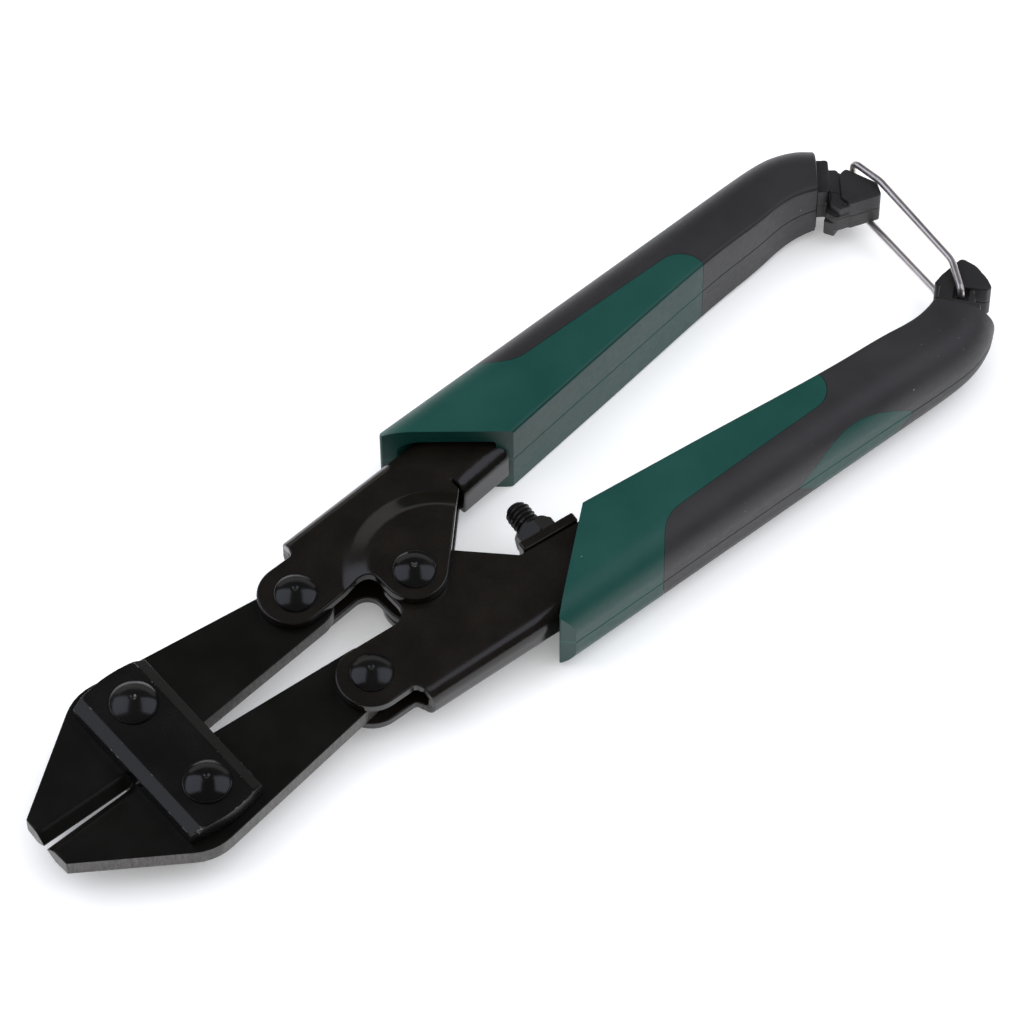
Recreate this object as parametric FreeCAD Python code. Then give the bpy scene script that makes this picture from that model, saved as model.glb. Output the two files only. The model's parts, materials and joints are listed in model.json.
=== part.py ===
"""Small bolt cutters, about 208 mm long: two pinned jaws, two folded handles, a wire bail.

Millimetres, +Z up. The tool lies flat. Everything is drawn about the centre rivet, with
x = 0 and y = 0 on its axis, z = 0 at the parting plane, -X towards the blades and +Y
towards handle a. At export it is moved so that the origin is at the middle of the
underside. Handle b is handle a turned half a turn about X.
"""
import FreeCAD, Part
import math
import os

V = FreeCAD.Vector

# ---- driving dimensions ----
HEAD_REACH = 84.0            # centre rivet to blade tips
GRIP_REACH = 124.0           # centre rivet to the rear of the bail plug
GRIP_HALF = 9.3              # half the thickness of a grip

JAW_HALF = 1.9               # half the thickness of a jaw
SLIDE_GAP = 0.1              # flat faces that slide on each other
RUN_GAP = 0.03               # radial clearance of a turning rivet
EASY_GAP = 0.3               # between curved parts that never touch

JAW_PIVOT = (-56.0, 10.6)    # jaw a turns here; jaw b is its mirror image
LINK_PIVOT = (-18.9, 10.9)   # jaw tail meets handle here, at rest
REST_OPEN_DEG = 0.9          # each jaw stands this far open at rest
EDGE_GAP = 0.05              # cutting edge to centre line when shut
EDGE_LAND = 0.15             # half the flat left on a cutting edge
BEVEL_WIDTH = 1.9            # cutting bevel, measured across the blade
BLADE_END_X = -64.6          # cutting bevels stop here
TOOTH_R = 1.3                # tooth of jaw a that sits in a notch of jaw b

PLATE_THICK = 3.8
PLATE_X = (-64.8, -48.6)     # front and rear edges of the tie plates
PLATE_END_Y = 16.9           # corners of the tie plate
PLATE_MID_Y = 18.2           # crown of its rounded ends
PLATE_BEVEL = (1.85, 0.8)    # width and depth of the bevel on its long edges

SHEET = 2.0                  # handle sheet thickness
CHEEK_IN = JAW_HALF + SLIDE_GAP          # inner face of an inner cheek
CHEEK_OUT = CHEEK_IN + SHEET
TAB_IN = CHEEK_OUT + SLIDE_GAP           # inner face of a raised tab
TAB_OUT = TAB_IN + SHEET
TAB_R = 6.2                  # tab round the centre rivet
JOGGLE_CENTRE = (4.0, -1.5)
JOGGLE_R = (12.6, 17.0)      # raised inside the first, level outside the second
BEND_R = 2.4                 # outer radius of the folds
FOLD_FRONT = (-13.4, 21.9)   # front end of the folded outer wall
FOLD_SLOPE = 0.05            # the outer wall leans out this much per mm
MOUTH_X = 32.0               # the frame enters the solid part of the grip here
MOUTH_IN_Y = 12.0            # inner edge of the tang at the mouth
TANG_END = 86.0
TANG_END_Y = (19.5, 26.0)    # inner and outer corners of the tang's end
INNER_EDGE_Y = 10.4          # straight inner edge of an upper cheek
FLANGE_X = (18.7, 30.2)      # folded inner flange
FLANGE_Y = {"a": 8.7, "b": 6.8}          # its outer face at the front end
FLANGE_SLOPE = 0.1
FLANGE_DEPTH = 8.4
RELIEF_END_X = FLANGE_X[1] + 0.5         # the frame's edges clear the grip up to here

JAW_RIVET_R, JAW_HEAD_R, JAW_HEAD_H = 3.0, 4.5, 2.2
LINK_RIVET_R, LINK_HEAD_R, LINK_HEAD_H = 2.5, 4.0, 1.9
OPEN_PIVOT_GAP = 0.15        # handle b's holes round the centre rivet
SPACER_R = 4.2

SCREW_X = 23.8               # stop screw, square through the flange of handle b
SCREW_R = 2.5
SCREW_REACH = 9.2            # flange face to the screw's domed tip
NUT_FLATS, NUT_HEIGHT = 7.4, 3.4

TANG_FIT = 0.02              # grip cavity round the tang
OUTER_ROUND = 6.5            # rounding of a grip's outer side
PATCH_X = (67.7, 95.0)       # green leaf on the outer side
PATCH_HALF = 5.2
PATCH_BACK_Y = 27.4
GRIP_END_IN = (111.9, 16.3)     # end face, inner corner
GRIP_END_OUT = (119.1, 25.6)    # end face, outer corner
# inner edge, outer edge and half thickness at sections from front to rear
GRIP_STATIONS = [
    ((5.0, 6.7), (5.0, 27.7), GRIP_HALF + 0.1),
    ((56.0, 12.85), (56.0, 28.6), GRIP_HALF + 0.1),
    ((82.5, 16.0), (84.0, 29.3), 8.9),
    ((97.0, 17.0), (101.0, 29.9), 8.3),
    ((103.0, 17.6), (107.9, 29.9), 7.95),
    ((106.5, 17.6), (112.1, 29.3), 7.6),
    ((109.4, 17.1), (116.0, 27.8), 7.25),
    (GRIP_END_IN, GRIP_END_OUT, 6.9),
]

PLUG_HALF = 4.1              # half the thickness of the end plugs
COLLAR_HALF = 4.2
COLLAR_V = 2.4               # collar depth, off the grip's end face
WIRE_R = 0.7
WIRE_Z = 5.3                 # wire strands pass this far above and below
# The bail is one bent wire whose two ends meet in the plug's slot. Its lower arm lies
# nearer to the grips than the upper one.
BAIL_PIVOT = (117.4, -17.8)
BAIL_POINTS = [
    (*BAIL_PIVOT, 0.1), (*BAIL_PIVOT, WIRE_Z), (120.8, -11.4, WIRE_Z), (122.8, 10.9, WIRE_Z),
    (121.9, 17.5, WIRE_Z), (121.9, 17.5, -WIRE_Z), (120.4, 10.9, -WIRE_Z),
    (119.2, -8.9, -WIRE_Z), (*BAIL_PIVOT, -WIRE_Z), (*BAIL_PIVOT, -0.1),
]
BAIL_CORNER_R, BAIL_BEND_R = 1.4, 5.0


# ---- helpers ----
def rounded_wire(corners):
    """Closed outline in z = 0 from (x, y, radius) corners; radius 0 stays sharp."""
    count = len(corners)
    joins = []
    for i, (x, y, radius) in enumerate(corners):
        here = V(x, y, 0)
        back = (V(*corners[i - 1][:2], 0) - here).normalize()
        ahead = (V(*corners[(i + 1) % count][:2], 0) - here).normalize()
        half = back.getAngle(ahead) / 2
        if radius <= 0:
            joins.append((here, None, here))
            continue
        reach = radius / math.tan(half)
        middle = (back + ahead).normalize()
        crown = here + middle * (radius / math.sin(half) - radius)
        joins.append((here + back * reach, crown, here + ahead * reach))
    edges = []
    for i, (start, crown, end) in enumerate(joins):
        if crown is not None:
            edges.append(Part.Arc(start, crown, end).toShape())
        follow = joins[(i + 1) % count][0]
        if (follow - end).Length > 1e-6:
            edges.append(Part.LineSegment(end, follow).toShape())
    return Part.Wire(edges)


def slab(corners, low, high):
    """Prism of a rounded outline between two heights."""
    face = Part.Face(rounded_wire(corners))
    face.translate(V(0, 0, low))
    return face.extrude(V(0, 0, high - low))


def side_slab(corners, y_low, y_high):
    """Prism along Y of an outline drawn in x and z."""
    face = Part.Face(rounded_wire(corners))
    face.rotate(V(0, 0, 0), V(1, 0, 0), 90)
    face.translate(V(0, y_high, 0))
    return face.extrude(V(0, y_low - y_high, 0))


def post(x, y, radius, low, high):
    return Part.makeCylinder(radius, high - low, V(x, y, low))


def mirrored(shape):
    """The same piece on the other side of the centre line."""
    return shape.mirror(V(0, 0, 0), V(0, 1, 0))


def half_turned(shape):
    """The same piece turned half a turn about X."""
    turned = shape.copy()
    turned.rotate(V(0, 0, 0), V(1, 0, 0), 180)
    return turned


def outer_wall_y(x):
    return FOLD_FRONT[1] + FOLD_SLOPE * (x - FOLD_FRONT[0])


# ---- rivets ----
def dome(radius, height):
    """Rivet head standing on z = 0: short rim, spherical crown, small dimple."""
    rim = 0.45
    dimple_r, dimple_deep = 0.55, 0.3
    crown_r = (radius ** 2 + (height - rim) ** 2) / (2 * (height - rim))
    centre_z = height - crown_r
    top_z = centre_z + math.sqrt(crown_r ** 2 - dimple_r ** 2)
    middle_r = (radius + dimple_r) / 2
    middle_z = centre_z + math.sqrt(crown_r ** 2 - middle_r ** 2)
    edges = [
        Part.LineSegment(V(0, 0, 0), V(radius, 0, 0)).toShape(),
        Part.LineSegment(V(radius, 0, 0), V(radius, 0, rim)).toShape(),
        Part.Arc(V(radius, 0, rim), V(middle_r, 0, middle_z), V(dimple_r, 0, top_z)).toShape(),
        Part.LineSegment(V(dimple_r, 0, top_z), V(0, 0, top_z - dimple_deep)).toShape(),
        Part.LineSegment(V(0, 0, top_z - dimple_deep), V(0, 0, 0)).toShape(),
    ]
    return Part.Face(Part.Wire(edges)).revolve(V(0, 0, 0), V(0, 0, 1), 360)


def rivet(x, y, low, high, shank_r, head_r, head_h):
    """Shank from low to high with a domed head on each end."""
    top = dome(head_r, head_h)
    bottom = half_turned(top)
    top.translate(V(x, y, high))
    bottom.translate(V(x, y, low))
    return post(x, y, shank_r, low, high).fuse([top, bottom]).removeSplitter()


# ---- head ----
def jaw_blank():
    """Jaw a with its blade shut on the centre line, before the tooth or notch."""
    px = JAW_PIVOT[0]
    throat_y = 3 * EDGE_GAP
    outline = [
        (-HEAD_REACH, EDGE_GAP, 0), (-HEAD_REACH + 0.2, 5.4, 0.4), (-62.3, 20.75, 10.0),
        (-13.0, 14.9, 5.0), (-13.0, 4.8, 5.5), (-50.9, 1.2, 0),
        (px, throat_y, 0), (BLADE_END_X, throat_y, 0), (BLADE_END_X, EDGE_GAP, 0),
    ]
    blank = slab(outline, -JAW_HALF, JAW_HALF)
    high = JAW_HALF + 1
    wide = BEVEL_WIDTH * (high - EDGE_LAND) / (JAW_HALF - EDGE_LAND)
    section = [V(-HEAD_REACH - 1, EDGE_GAP, EDGE_LAND), V(-HEAD_REACH - 1, EDGE_GAP, high),
               V(-HEAD_REACH - 1, EDGE_GAP + wide, high)]
    wedge = Part.Face(Part.makePolygon(section + section[:1]))
    wedge = wedge.extrude(V(BLADE_END_X + HEAD_REACH + 1, 0, 0))
    flipped = wedge.mirror(V(0, 0, 0), V(0, 0, 1))
    return blank.cut([wedge, flipped])


def jaws():
    """Both jaws at rest, each turned open about its own pivot."""
    px, py = JAW_PIVOT
    angle = math.radians(REST_OPEN_DEG)
    reach_x, reach_y = LINK_PIVOT[0] - px, LINK_PIVOT[1] - py
    shut_link = (px + reach_x * math.cos(angle) - reach_y * math.sin(angle),
                 py + reach_x * math.sin(angle) + reach_y * math.cos(angle))
    holes = [post(px, py, JAW_RIVET_R + RUN_GAP, -JAW_HALF, JAW_HALF),
             post(*shut_link, LINK_RIVET_R + RUN_GAP, -JAW_HALF, JAW_HALF)]
    blank = jaw_blank().cut(holes)
    tooth = post(px, EDGE_GAP, TOOTH_R, -JAW_HALF, JAW_HALF)
    notch = post(px, EDGE_GAP, TOOTH_R + EASY_GAP, -JAW_HALF, JAW_HALF)
    jaw_a = blank.fuse(tooth).removeSplitter()
    jaw_a.rotate(V(px, py, 0), V(0, 0, 1), -REST_OPEN_DEG)
    jaw_b = mirrored(blank.cut(notch))
    jaw_b.rotate(V(px, -py, 0), V(0, 0, 1), REST_OPEN_DEG)
    return jaw_a, jaw_b


def tie_plate():
    """Top tie plate: flat underside, bevelled long edges, rounded ends."""
    low = JAW_HALF + SLIDE_GAP
    high = low + PLATE_THICK
    front, rear = PLATE_X
    middle = (front + rear) / 2
    edges = [
        Part.Arc(V(front, PLATE_END_Y, 0), V(middle, PLATE_MID_Y, 0), V(rear, PLATE_END_Y, 0)),
        Part.LineSegment(V(rear, PLATE_END_Y, 0), V(rear, -PLATE_END_Y, 0)),
        Part.Arc(V(rear, -PLATE_END_Y, 0), V(middle, -PLATE_MID_Y, 0), V(front, -PLATE_END_Y, 0)),
        Part.LineSegment(V(front, -PLATE_END_Y, 0), V(front, PLATE_END_Y, 0)),
    ]
    plate = Part.Face(Part.Wire([edge.toShape() for edge in edges]))
    plate.translate(V(0, 0, low))
    plate = plate.extrude(V(0, 0, PLATE_THICK))
    wide, deep = PLATE_BEVEL
    profile = [(front, low, 0), (rear, low, 0), (rear, high - deep, 0), (rear - wide, high, 0),
               (front + wide, high, 0), (front, high - deep, 0)]
    plate = plate.common(side_slab(profile, -PLATE_MID_Y - 1, PLATE_MID_Y + 1))
    px, py = JAW_PIVOT
    return plate.cut([post(px, y, JAW_RIVET_R, low, high) for y in (py, -py)])


def jaw_rivet(y):
    face = JAW_HALF + SLIDE_GAP + PLATE_THICK
    return rivet(JAW_PIVOT[0], y, -face, face, JAW_RIVET_R, JAW_HEAD_R, JAW_HEAD_H)


# ---- handle frames ----
def flange_y(side, x):
    """Outer face of a handle's flange, as drawn for handle a."""
    return FLANGE_Y[side] + FLANGE_SLOPE * (x - FLANGE_X[0])


def cheek_outline(front_y, rear_y):
    """Plan of a handle cheek; its inner edge runs from front_y to rear_y beside the flange."""
    tab_corner_y = -TAB_R * (1 + math.sqrt(2))
    return [
        (-25.8, 4.3, 6.4), (-25.8, 17.7, 6.4), (-14.4, 17.9, 0.8), (*FOLD_FRONT, 0.5),
        (MOUTH_X, outer_wall_y(MOUTH_X), 0), (TANG_END, TANG_END_Y[1], 2.0),
        (TANG_END, TANG_END_Y[0], 2.0), (MOUTH_X, MOUTH_IN_Y, 0), (RELIEF_END_X, rear_y, 0),
        (front_y + TAB_R * math.sqrt(2), front_y, 0),
        (-TAB_R, tab_corner_y, TAB_R), (-TAB_R, 5.9, 3.0),
    ]


def raised_cheek():
    """Upper cheek, dished up round the centre rivet so that it clears the other handle."""
    inner_r, outer_r = JOGGLE_R
    far = 130.0
    profile = [V(0, 0, TAB_IN), V(inner_r, 0, TAB_IN), V(outer_r, 0, CHEEK_IN), V(far, 0, CHEEK_IN),
               V(far, 0, CHEEK_OUT), V(outer_r, 0, CHEEK_OUT), V(inner_r, 0, TAB_OUT),
               V(0, 0, TAB_OUT)]
    dish = Part.Face(Part.makePolygon(profile + profile[:1]))
    dish = dish.revolve(V(0, 0, 0), V(0, 0, 1), 360)
    dish.translate(V(*JOGGLE_CENTRE, 0))
    outline = cheek_outline(INNER_EDGE_Y, INNER_EDGE_Y)
    return slab(outline, CHEEK_IN - 1, TAB_OUT + 1).common(dish)


def flange(side):
    """Inner flange folded down from the upper cheek."""
    front, rear = FLANGE_X
    low = CHEEK_OUT - FLANGE_DEPTH
    profile = [V(0, 0, CHEEK_OUT), V(0, SHEET + 2, CHEEK_OUT), V(0, SHEET + 2, CHEEK_IN),
               V(0, SHEET, CHEEK_IN), V(0, SHEET, low), V(0, 0, low)]
    wall = Part.Face(Part.makePolygon(profile + profile[:1])).extrude(V(rear - front, 0, 0))
    fold = [edge for edge in wall.Edges
            if all(abs(v.Y) < 1e-6 and abs(v.Z - CHEEK_OUT) < 1e-6 for v in edge.Vertexes)]
    wall = wall.makeFillet(BEND_R, fold)
    wall.rotate(V(0, 0, 0), V(0, 0, 1), math.degrees(math.atan(FLANGE_SLOPE)))
    wall.translate(V(front, FLANGE_Y[side], 0))
    return wall


def handle_frame(side):
    """Frame of handle a, as if folded from one sheet, with its tang for the grip.
    With side b it has handle b's flange."""
    front_x, front_y = FOLD_FRONT
    mouth_y = outer_wall_y(MOUTH_X)
    rear_x, rear_y = TANG_END - SHEET, TANG_END_Y[1]
    wall = slab([(front_x, front_y, 0), (MOUTH_X, mouth_y, 0), (rear_x, rear_y, 0),
                 (rear_x, rear_y - SHEET, 0), (MOUTH_X, mouth_y - SHEET, 0),
                 (front_x, front_y - SHEET, 0)], -CHEEK_OUT, CHEEK_OUT)
    behind = SHEET + SLIDE_GAP
    lower = slab(cheek_outline(flange_y(side, FLANGE_X[0]) + behind,
                               flange_y(side, RELIEF_END_X) + behind), -CHEEK_OUT, -CHEEK_IN)
    upper = raised_cheek()
    slot_end = FLANGE_X[1] + 3
    slot = slab([(FLANGE_X[0], 0, 0), (slot_end, 0, 0), (slot_end, flange_y(side, slot_end) + SHEET, 0),
                 (FLANGE_X[0], flange_y(side, FLANGE_X[0]) + SHEET, 0)],
                CHEEK_IN - 1, CHEEK_OUT + 1)
    body = wall.fuse([lower, upper.cut(slot)]).removeSplitter()

    def on_fold(edge):
        ends = [v.Point for v in edge.Vertexes]
        straight = all(abs(p.y - outer_wall_y(p.x)) < 0.05 and p.x < 33 for p in ends)
        return straight and all(abs(abs(p.z) - CHEEK_OUT) < 1e-6 for p in ends) and edge.Length > 20

    body = body.makeFillet(BEND_R, [edge for edge in body.Edges if on_fold(edge)])
    body = body.fuse(flange(side)).removeSplitter()
    holes = [post(*LINK_PIVOT, LINK_RIVET_R, -CHEEK_OUT, CHEEK_OUT),
             post(0, 0, LINK_RIVET_R, -TAB_OUT, TAB_OUT)]
    return body.cut(holes)


def frame_b():
    """Frame of handle b: its centre holes are the open pivot, its flange takes the screw."""
    frame = half_turned(handle_frame("b"))
    hole = post(0, 0, LINK_RIVET_R + OPEN_PIVOT_GAP, -TAB_OUT, TAB_OUT)
    tapped = on_flange_b(Part.makeCylinder(SCREW_R, SHEET + 2, V(0, -SHEET - 1, 0), V(0, 1, 0)))
    return frame.cut([hole, tapped])


def on_flange_b(shape):
    """Place a shape drawn about the screw, with y = 0 on the flange's face."""
    placed = shape.copy()
    placed.rotate(V(0, 0, 0), V(0, 0, 1), -math.degrees(math.atan(FLANGE_SLOPE)))
    placed.translate(V(SCREW_X, -flange_y("b", SCREW_X), 0))
    return placed


def link_rivet(y):
    return rivet(LINK_PIVOT[0], y, -CHEEK_OUT, CHEEK_OUT, LINK_RIVET_R, LINK_HEAD_R, LINK_HEAD_H)


def centre_rivet():
    low = -TAB_OUT - SLIDE_GAP
    return rivet(0, 0, low, TAB_OUT, LINK_RIVET_R, LINK_HEAD_R, LINK_HEAD_H)


def centre_spacer():
    """Sleeve between the lower cheek of handle a and the upper cheek of handle b."""
    high = CHEEK_IN - SLIDE_GAP
    return post(0, 0, SPACER_R, -CHEEK_IN, high).cut(post(0, 0, LINK_RIVET_R, -CHEEK_IN, high))


def stop_screw():
    """Set screw with a domed end that faces the other handle."""
    crown = 0.9
    along = V(0, 1, 0)
    shank = Part.makeCylinder(SCREW_R, SHEET + SCREW_REACH - crown, V(0, -SHEET, 0), along)
    crown_r = (SCREW_R ** 2 + crown ** 2) / (2 * crown)
    ball = Part.makeSphere(crown_r, V(0, SCREW_REACH - crown_r, 0))
    cap = ball.common(Part.makeCylinder(SCREW_R, crown, V(0, SCREW_REACH - crown, 0), along))
    socket_r, socket_deep = 1.3, 2.5
    socket = Part.makeCylinder(socket_r, socket_deep, V(0, -SHEET, 0), along)
    return on_flange_b(shank.fuse(cap).removeSplitter().cut(socket))


def stop_nut():
    """Hexagon lock nut on the flange, with its corners turned off."""
    corner_r = NUT_FLATS / math.sqrt(3)
    ring = [V(corner_r * math.cos(math.radians(a)), 0, corner_r * math.sin(math.radians(a)))
            for a in range(0, 360, 60)]
    nut = Part.Face(Part.makePolygon(ring + ring[:1])).extrude(V(0, NUT_HEIGHT, 0))
    turned = Part.makeCone(corner_r + 2, corner_r - 0.4, NUT_HEIGHT, V(0, 0, 0), V(0, 1, 0))
    bore = Part.makeCylinder(SCREW_R, NUT_HEIGHT, V(0, 0, 0), V(0, 1, 0))
    return on_flange_b(nut.common(turned).cut(bore))


# ---- grips ----
def grip_section(inner, outer, half):
    """Upright D-shaped section: flat at the inner point, rounded at the outer one."""
    across = V(outer[0] - inner[0], outer[1] - inner[1], 0)
    width = across.Length
    across.normalize()
    flat = width - OUTER_ROUND
    crown = OUTER_ROUND * math.sqrt(0.5)

    def at(reach, height):
        return V(*inner, height) + across * reach

    edges = [
        Part.LineSegment(at(0, -half), at(0, half)),
        Part.LineSegment(at(0, half), at(flat, half)),
        Part.Arc(at(flat, half), at(flat + crown, half - OUTER_ROUND + crown),
                 at(width, half - OUTER_ROUND)),
        Part.LineSegment(at(width, half - OUTER_ROUND), at(width, OUTER_ROUND - half)),
        Part.Arc(at(width, OUTER_ROUND - half), at(flat + crown, OUTER_ROUND - crown - half),
                 at(flat, -half)),
        Part.LineSegment(at(flat, -half), at(0, -half)),
    ]
    return Part.Wire([edge.toShape() for edge in edges])


def grip_solid():
    """Whole grip of handle a: flat inner side, rounded outer side, thinner towards its end."""
    grip = Part.makeLoft([grip_section(*station) for station in GRIP_STATIONS], True, True)
    front = slab([(36.6, 5.7, 0), (12.6, 25.6, 0), (15.2, 28.3, 0), (20.0, 35.0, 0),
                  (130.0, 35.0, 0), (130.0, 5.7, 0)], -GRIP_HALF, GRIP_HALF)
    grip = grip.common(front)
    gap = TANG_FIT
    rear_x = TANG_END + gap
    relief_y = flange_y("b", RELIEF_END_X)
    cavity = slab([(0, outer_wall_y(0) + gap, 0), (MOUTH_X, outer_wall_y(MOUTH_X) + gap, 0),
                   (rear_x - SHEET - gap, TANG_END_Y[1] + gap, 0),
                   (rear_x, TANG_END_Y[1] + gap, 0), (rear_x, TANG_END_Y[0] - gap, 0),
                   (MOUTH_X, MOUTH_IN_Y - gap, 0), (RELIEF_END_X + gap, relief_y, 0), (0, relief_y, 0)],
                  -CHEEK_OUT - gap, CHEEK_OUT + gap)
    relief_high = FLANGE_DEPTH - CHEEK_OUT + EASY_GAP
    relief = slab([(0, relief_y, 0), (RELIEF_END_X + gap, relief_y, 0), (RELIEF_END_X + gap, 16, 0),
                   (0, 16, 0)], -relief_high, relief_high)
    return grip.cut([cavity, relief])


def grip_pieces():
    """Green shell, black rubber and green leaf of handle a's grip."""
    grip = grip_solid()
    high = GRIP_HALF + 1
    rubber_plan = slab([(82.9, 5, 0), (82.9, 21.7, 5.0), (41.0, 21.7, 8.0), (31.5, 32.5, 0),
                        (130, 32.5, 0), (130, 5, 0)], -high, high)
    leaf_middle = (PATCH_X[0] + PATCH_X[1]) / 2
    rim = [Part.Arc(V(PATCH_X[0], 0, 0), V(leaf_middle, 0, PATCH_HALF), V(PATCH_X[1], 0, 0)),
           Part.Arc(V(PATCH_X[1], 0, 0), V(leaf_middle, 0, -PATCH_HALF), V(PATCH_X[0], 0, 0))]
    leaf = Part.Face(Part.Wire([arc.toShape() for arc in rim]))
    leaf.translate(V(0, PATCH_BACK_Y, 0))
    leaf = leaf.extrude(V(0, 5, 0))
    green = grip.cut(rubber_plan)
    rubber = grip.common(rubber_plan)
    return green, rubber.cut(leaf), rubber.common(leaf)


# ---- end plugs and bail ----
def off_grip_end(shape):
    """Place a shape drawn with x along the grip's end face and y off it."""
    along = V(GRIP_END_OUT[0] - GRIP_END_IN[0], GRIP_END_OUT[1] - GRIP_END_IN[1], 0)
    turn = math.degrees(math.atan2(along.y, along.x))
    placed = shape.mirror(V(0, 0, 0), V(0, 1, 0))
    placed.rotate(V(0, 0, 0), V(0, 0, 1), turn)
    placed.translate(V(*GRIP_END_IN, 0))
    return placed


def collar():
    return slab([(1.2, 0, 0), (8.6, 0, 0), (8.6, COLLAR_V, 0.6), (1.2, COLLAR_V, 0.6)],
                -COLLAR_HALF, COLLAR_HALF)


def hook_plug():
    """End plug of handle a: collar, neck, small bump and the block the wire hooks behind."""
    neck_half = 3.2
    neck = slab([(2.0, 1.0, 0), (6.4, 1.0, 0), (6.4, 4.0, 0.8), (5.4, 6.5, 0), (1.0, 7.0, 0)],
                -neck_half, neck_half)
    bump = slab([(5.2, 1.0, 0), (7.0, 1.0, 0), (7.0, 4.3, 0.8), (5.2, 4.3, 0.8)],
                -neck_half, neck_half)
    base = off_grip_end(collar().fuse([neck, bump]))
    block = slab([(117.9, 16.9, 0.3), (119.0, 17.9, 0.3), (120.4, 18.5, 0.6), (121.9, 9.0, 0.7),
                  (115.8, 11.2, 0.7), (115.4, 13.6, 0.5)], -PLUG_HALF, PLUG_HALF)
    saddle = slab([(113.9, 14.9, 0.5), (115.9, 12.2, 0.5), (118.6, 11.4, 0), (119.2, 17.0, 0),
                   (117.4, 18.6, 0.5)], -PLUG_HALF + 0.2, 0.4)
    lip = slab([(111.9, 14.5, 0.3), (114.6, 15.5, 0.3), (115.8, 13.4, 0.3), (113.0, 12.5, 0.5)],
               -PLUG_HALF - 1.6, -PLUG_HALF + 2.6)
    return base.fuse([block, saddle, lip]).removeSplitter().cut(grip_envelope())


def bail_plug():
    """End plug of handle b: collar, two cheeks beside the wire slot and a fan-shaped fin."""
    cheek_half = 3.4
    cheeks = [slab([(0.4, 1.0, 0), (3.1, 1.0, 0), (3.1, 6.0, 0), (0.4, 6.0, 0)],
                   -PLUG_HALF, PLUG_HALF),
              slab([(5.9, 1.0, 0), (7.3, 1.0, 0), (7.3, 6.5, 0), (5.9, 6.5, 0)],
                   -cheek_half, cheek_half)]
    fin = slab([(-1.0, 4.8, 0.4), (0.2, 7.4, 0.8), (3.2, 11.9, 1.0), (6.2, 10.7, 3.0),
                (8.8, 8.2, 3.0), (10.0, 6.3, 0.6), (9.2, 5.6, 0.4)], -PLUG_HALF, PLUG_HALF)
    slot_v = COLLAR_V + 2.2
    clear = slab([(3.1, COLLAR_V, 0), (5.9, COLLAR_V, 0), (5.9, slot_v, 0), (3.1, slot_v, 0)],
                 -PLUG_HALF - 1, PLUG_HALF + 1)
    plug = collar().fuse(cheeks + [fin]).removeSplitter().cut(clear)
    return mirrored(off_grip_end(plug).cut(grip_envelope()))


def grip_envelope():
    """Space just inside the grip's end, so that a plug meets the end face only."""
    inward = slab([(-6, -8, 0), (16, -8, 0), (16, 0, 0), (-6, 0, 0)], -GRIP_HALF, GRIP_HALF)
    return off_grip_end(inward)


def bail_wire():
    points = [V(*p) for p in BAIL_POINTS]
    edges = []
    start = points[0]
    for before, here, after in zip(points, points[1:], points[2:]):
        back = (before - here).normalize()
        ahead = (after - here).normalize()
        half = back.getAngle(ahead) / 2
        upright = abs(back.z) > 0.5 or abs(ahead.z) > 0.5
        radius = BAIL_CORNER_R if upright else BAIL_BEND_R
        reach = radius / math.tan(half)
        crown = here + (back + ahead).normalize() * (radius / math.sin(half) - radius)
        edges.append(Part.LineSegment(start, here + back * reach).toShape())
        edges.append(Part.Arc(here + back * reach, crown, here + ahead * reach).toShape())
        start = here + ahead * reach
    edges.append(Part.LineSegment(start, points[-1]).toShape())
    path = Part.Wire(edges)
    circle = Part.makeCircle(WIRE_R, points[0], V(0, 0, 1))
    return path.makePipeShell([Part.Wire(circle)], True, True)


# ---- the whole tool ----
def build():
    jaw_a, jaw_b = jaws()
    plate = tie_plate()
    green, rubber, leaf = grip_pieces()
    link_y = LINK_PIVOT[1]
    jaw_y = JAW_PIVOT[1]
    return {
        "jaw_a": jaw_a,
        "jaw_b": jaw_b,
        "tie_plate_top": plate,
        "tie_plate_bottom": half_turned(plate),
        "jaw_rivet_a": jaw_rivet(jaw_y),
        "jaw_rivet_b": jaw_rivet(-jaw_y),
        "handle_frame_a": handle_frame("a"),
        "handle_frame_b": frame_b(),
        "link_rivet_a": link_rivet(link_y),
        "link_rivet_b": link_rivet(-link_y),
        "centre_rivet": centre_rivet(),
        "centre_spacer": centre_spacer(),
        "stop_screw": stop_screw(),
        "stop_nut": stop_nut(),
        "grip_a_green": green,
        "grip_a_black": rubber,
        "grip_a_patch": leaf,
        "grip_b_green": half_turned(green),
        "grip_b_black": half_turned(rubber),
        "grip_b_patch": half_turned(leaf),
        "hook_plug_a": hook_plug(),
        "bail_plug_b": bail_plug(),
        "bail_wire": bail_wire(),
    }


def main():
    os.makedirs("parts", exist_ok=True)
    shift = V((HEAD_REACH - GRIP_REACH) / 2, 0, GRIP_HALF)
    for name, shape in build().items():
        shape.translate(shift)
        shape.exportStep("parts/" + name + ".step")
        box = shape.optimalBoundingBox()
        print("%-18s solids %d valid %s vol %8.1f  x %.2f..%.2f y %.2f..%.2f z %.2f..%.2f" % (
            name, len(shape.Solids), shape.isValid(), shape.Volume,
            box.XMin, box.XMax, box.YMin, box.YMax, box.ZMin, box.ZMax))


main()
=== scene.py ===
import json
import math

import bmesh
import bpy
import numpy as np
from mathutils import Matrix, Vector
from mathutils.geometry import delaunay_2d_cdt


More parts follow.
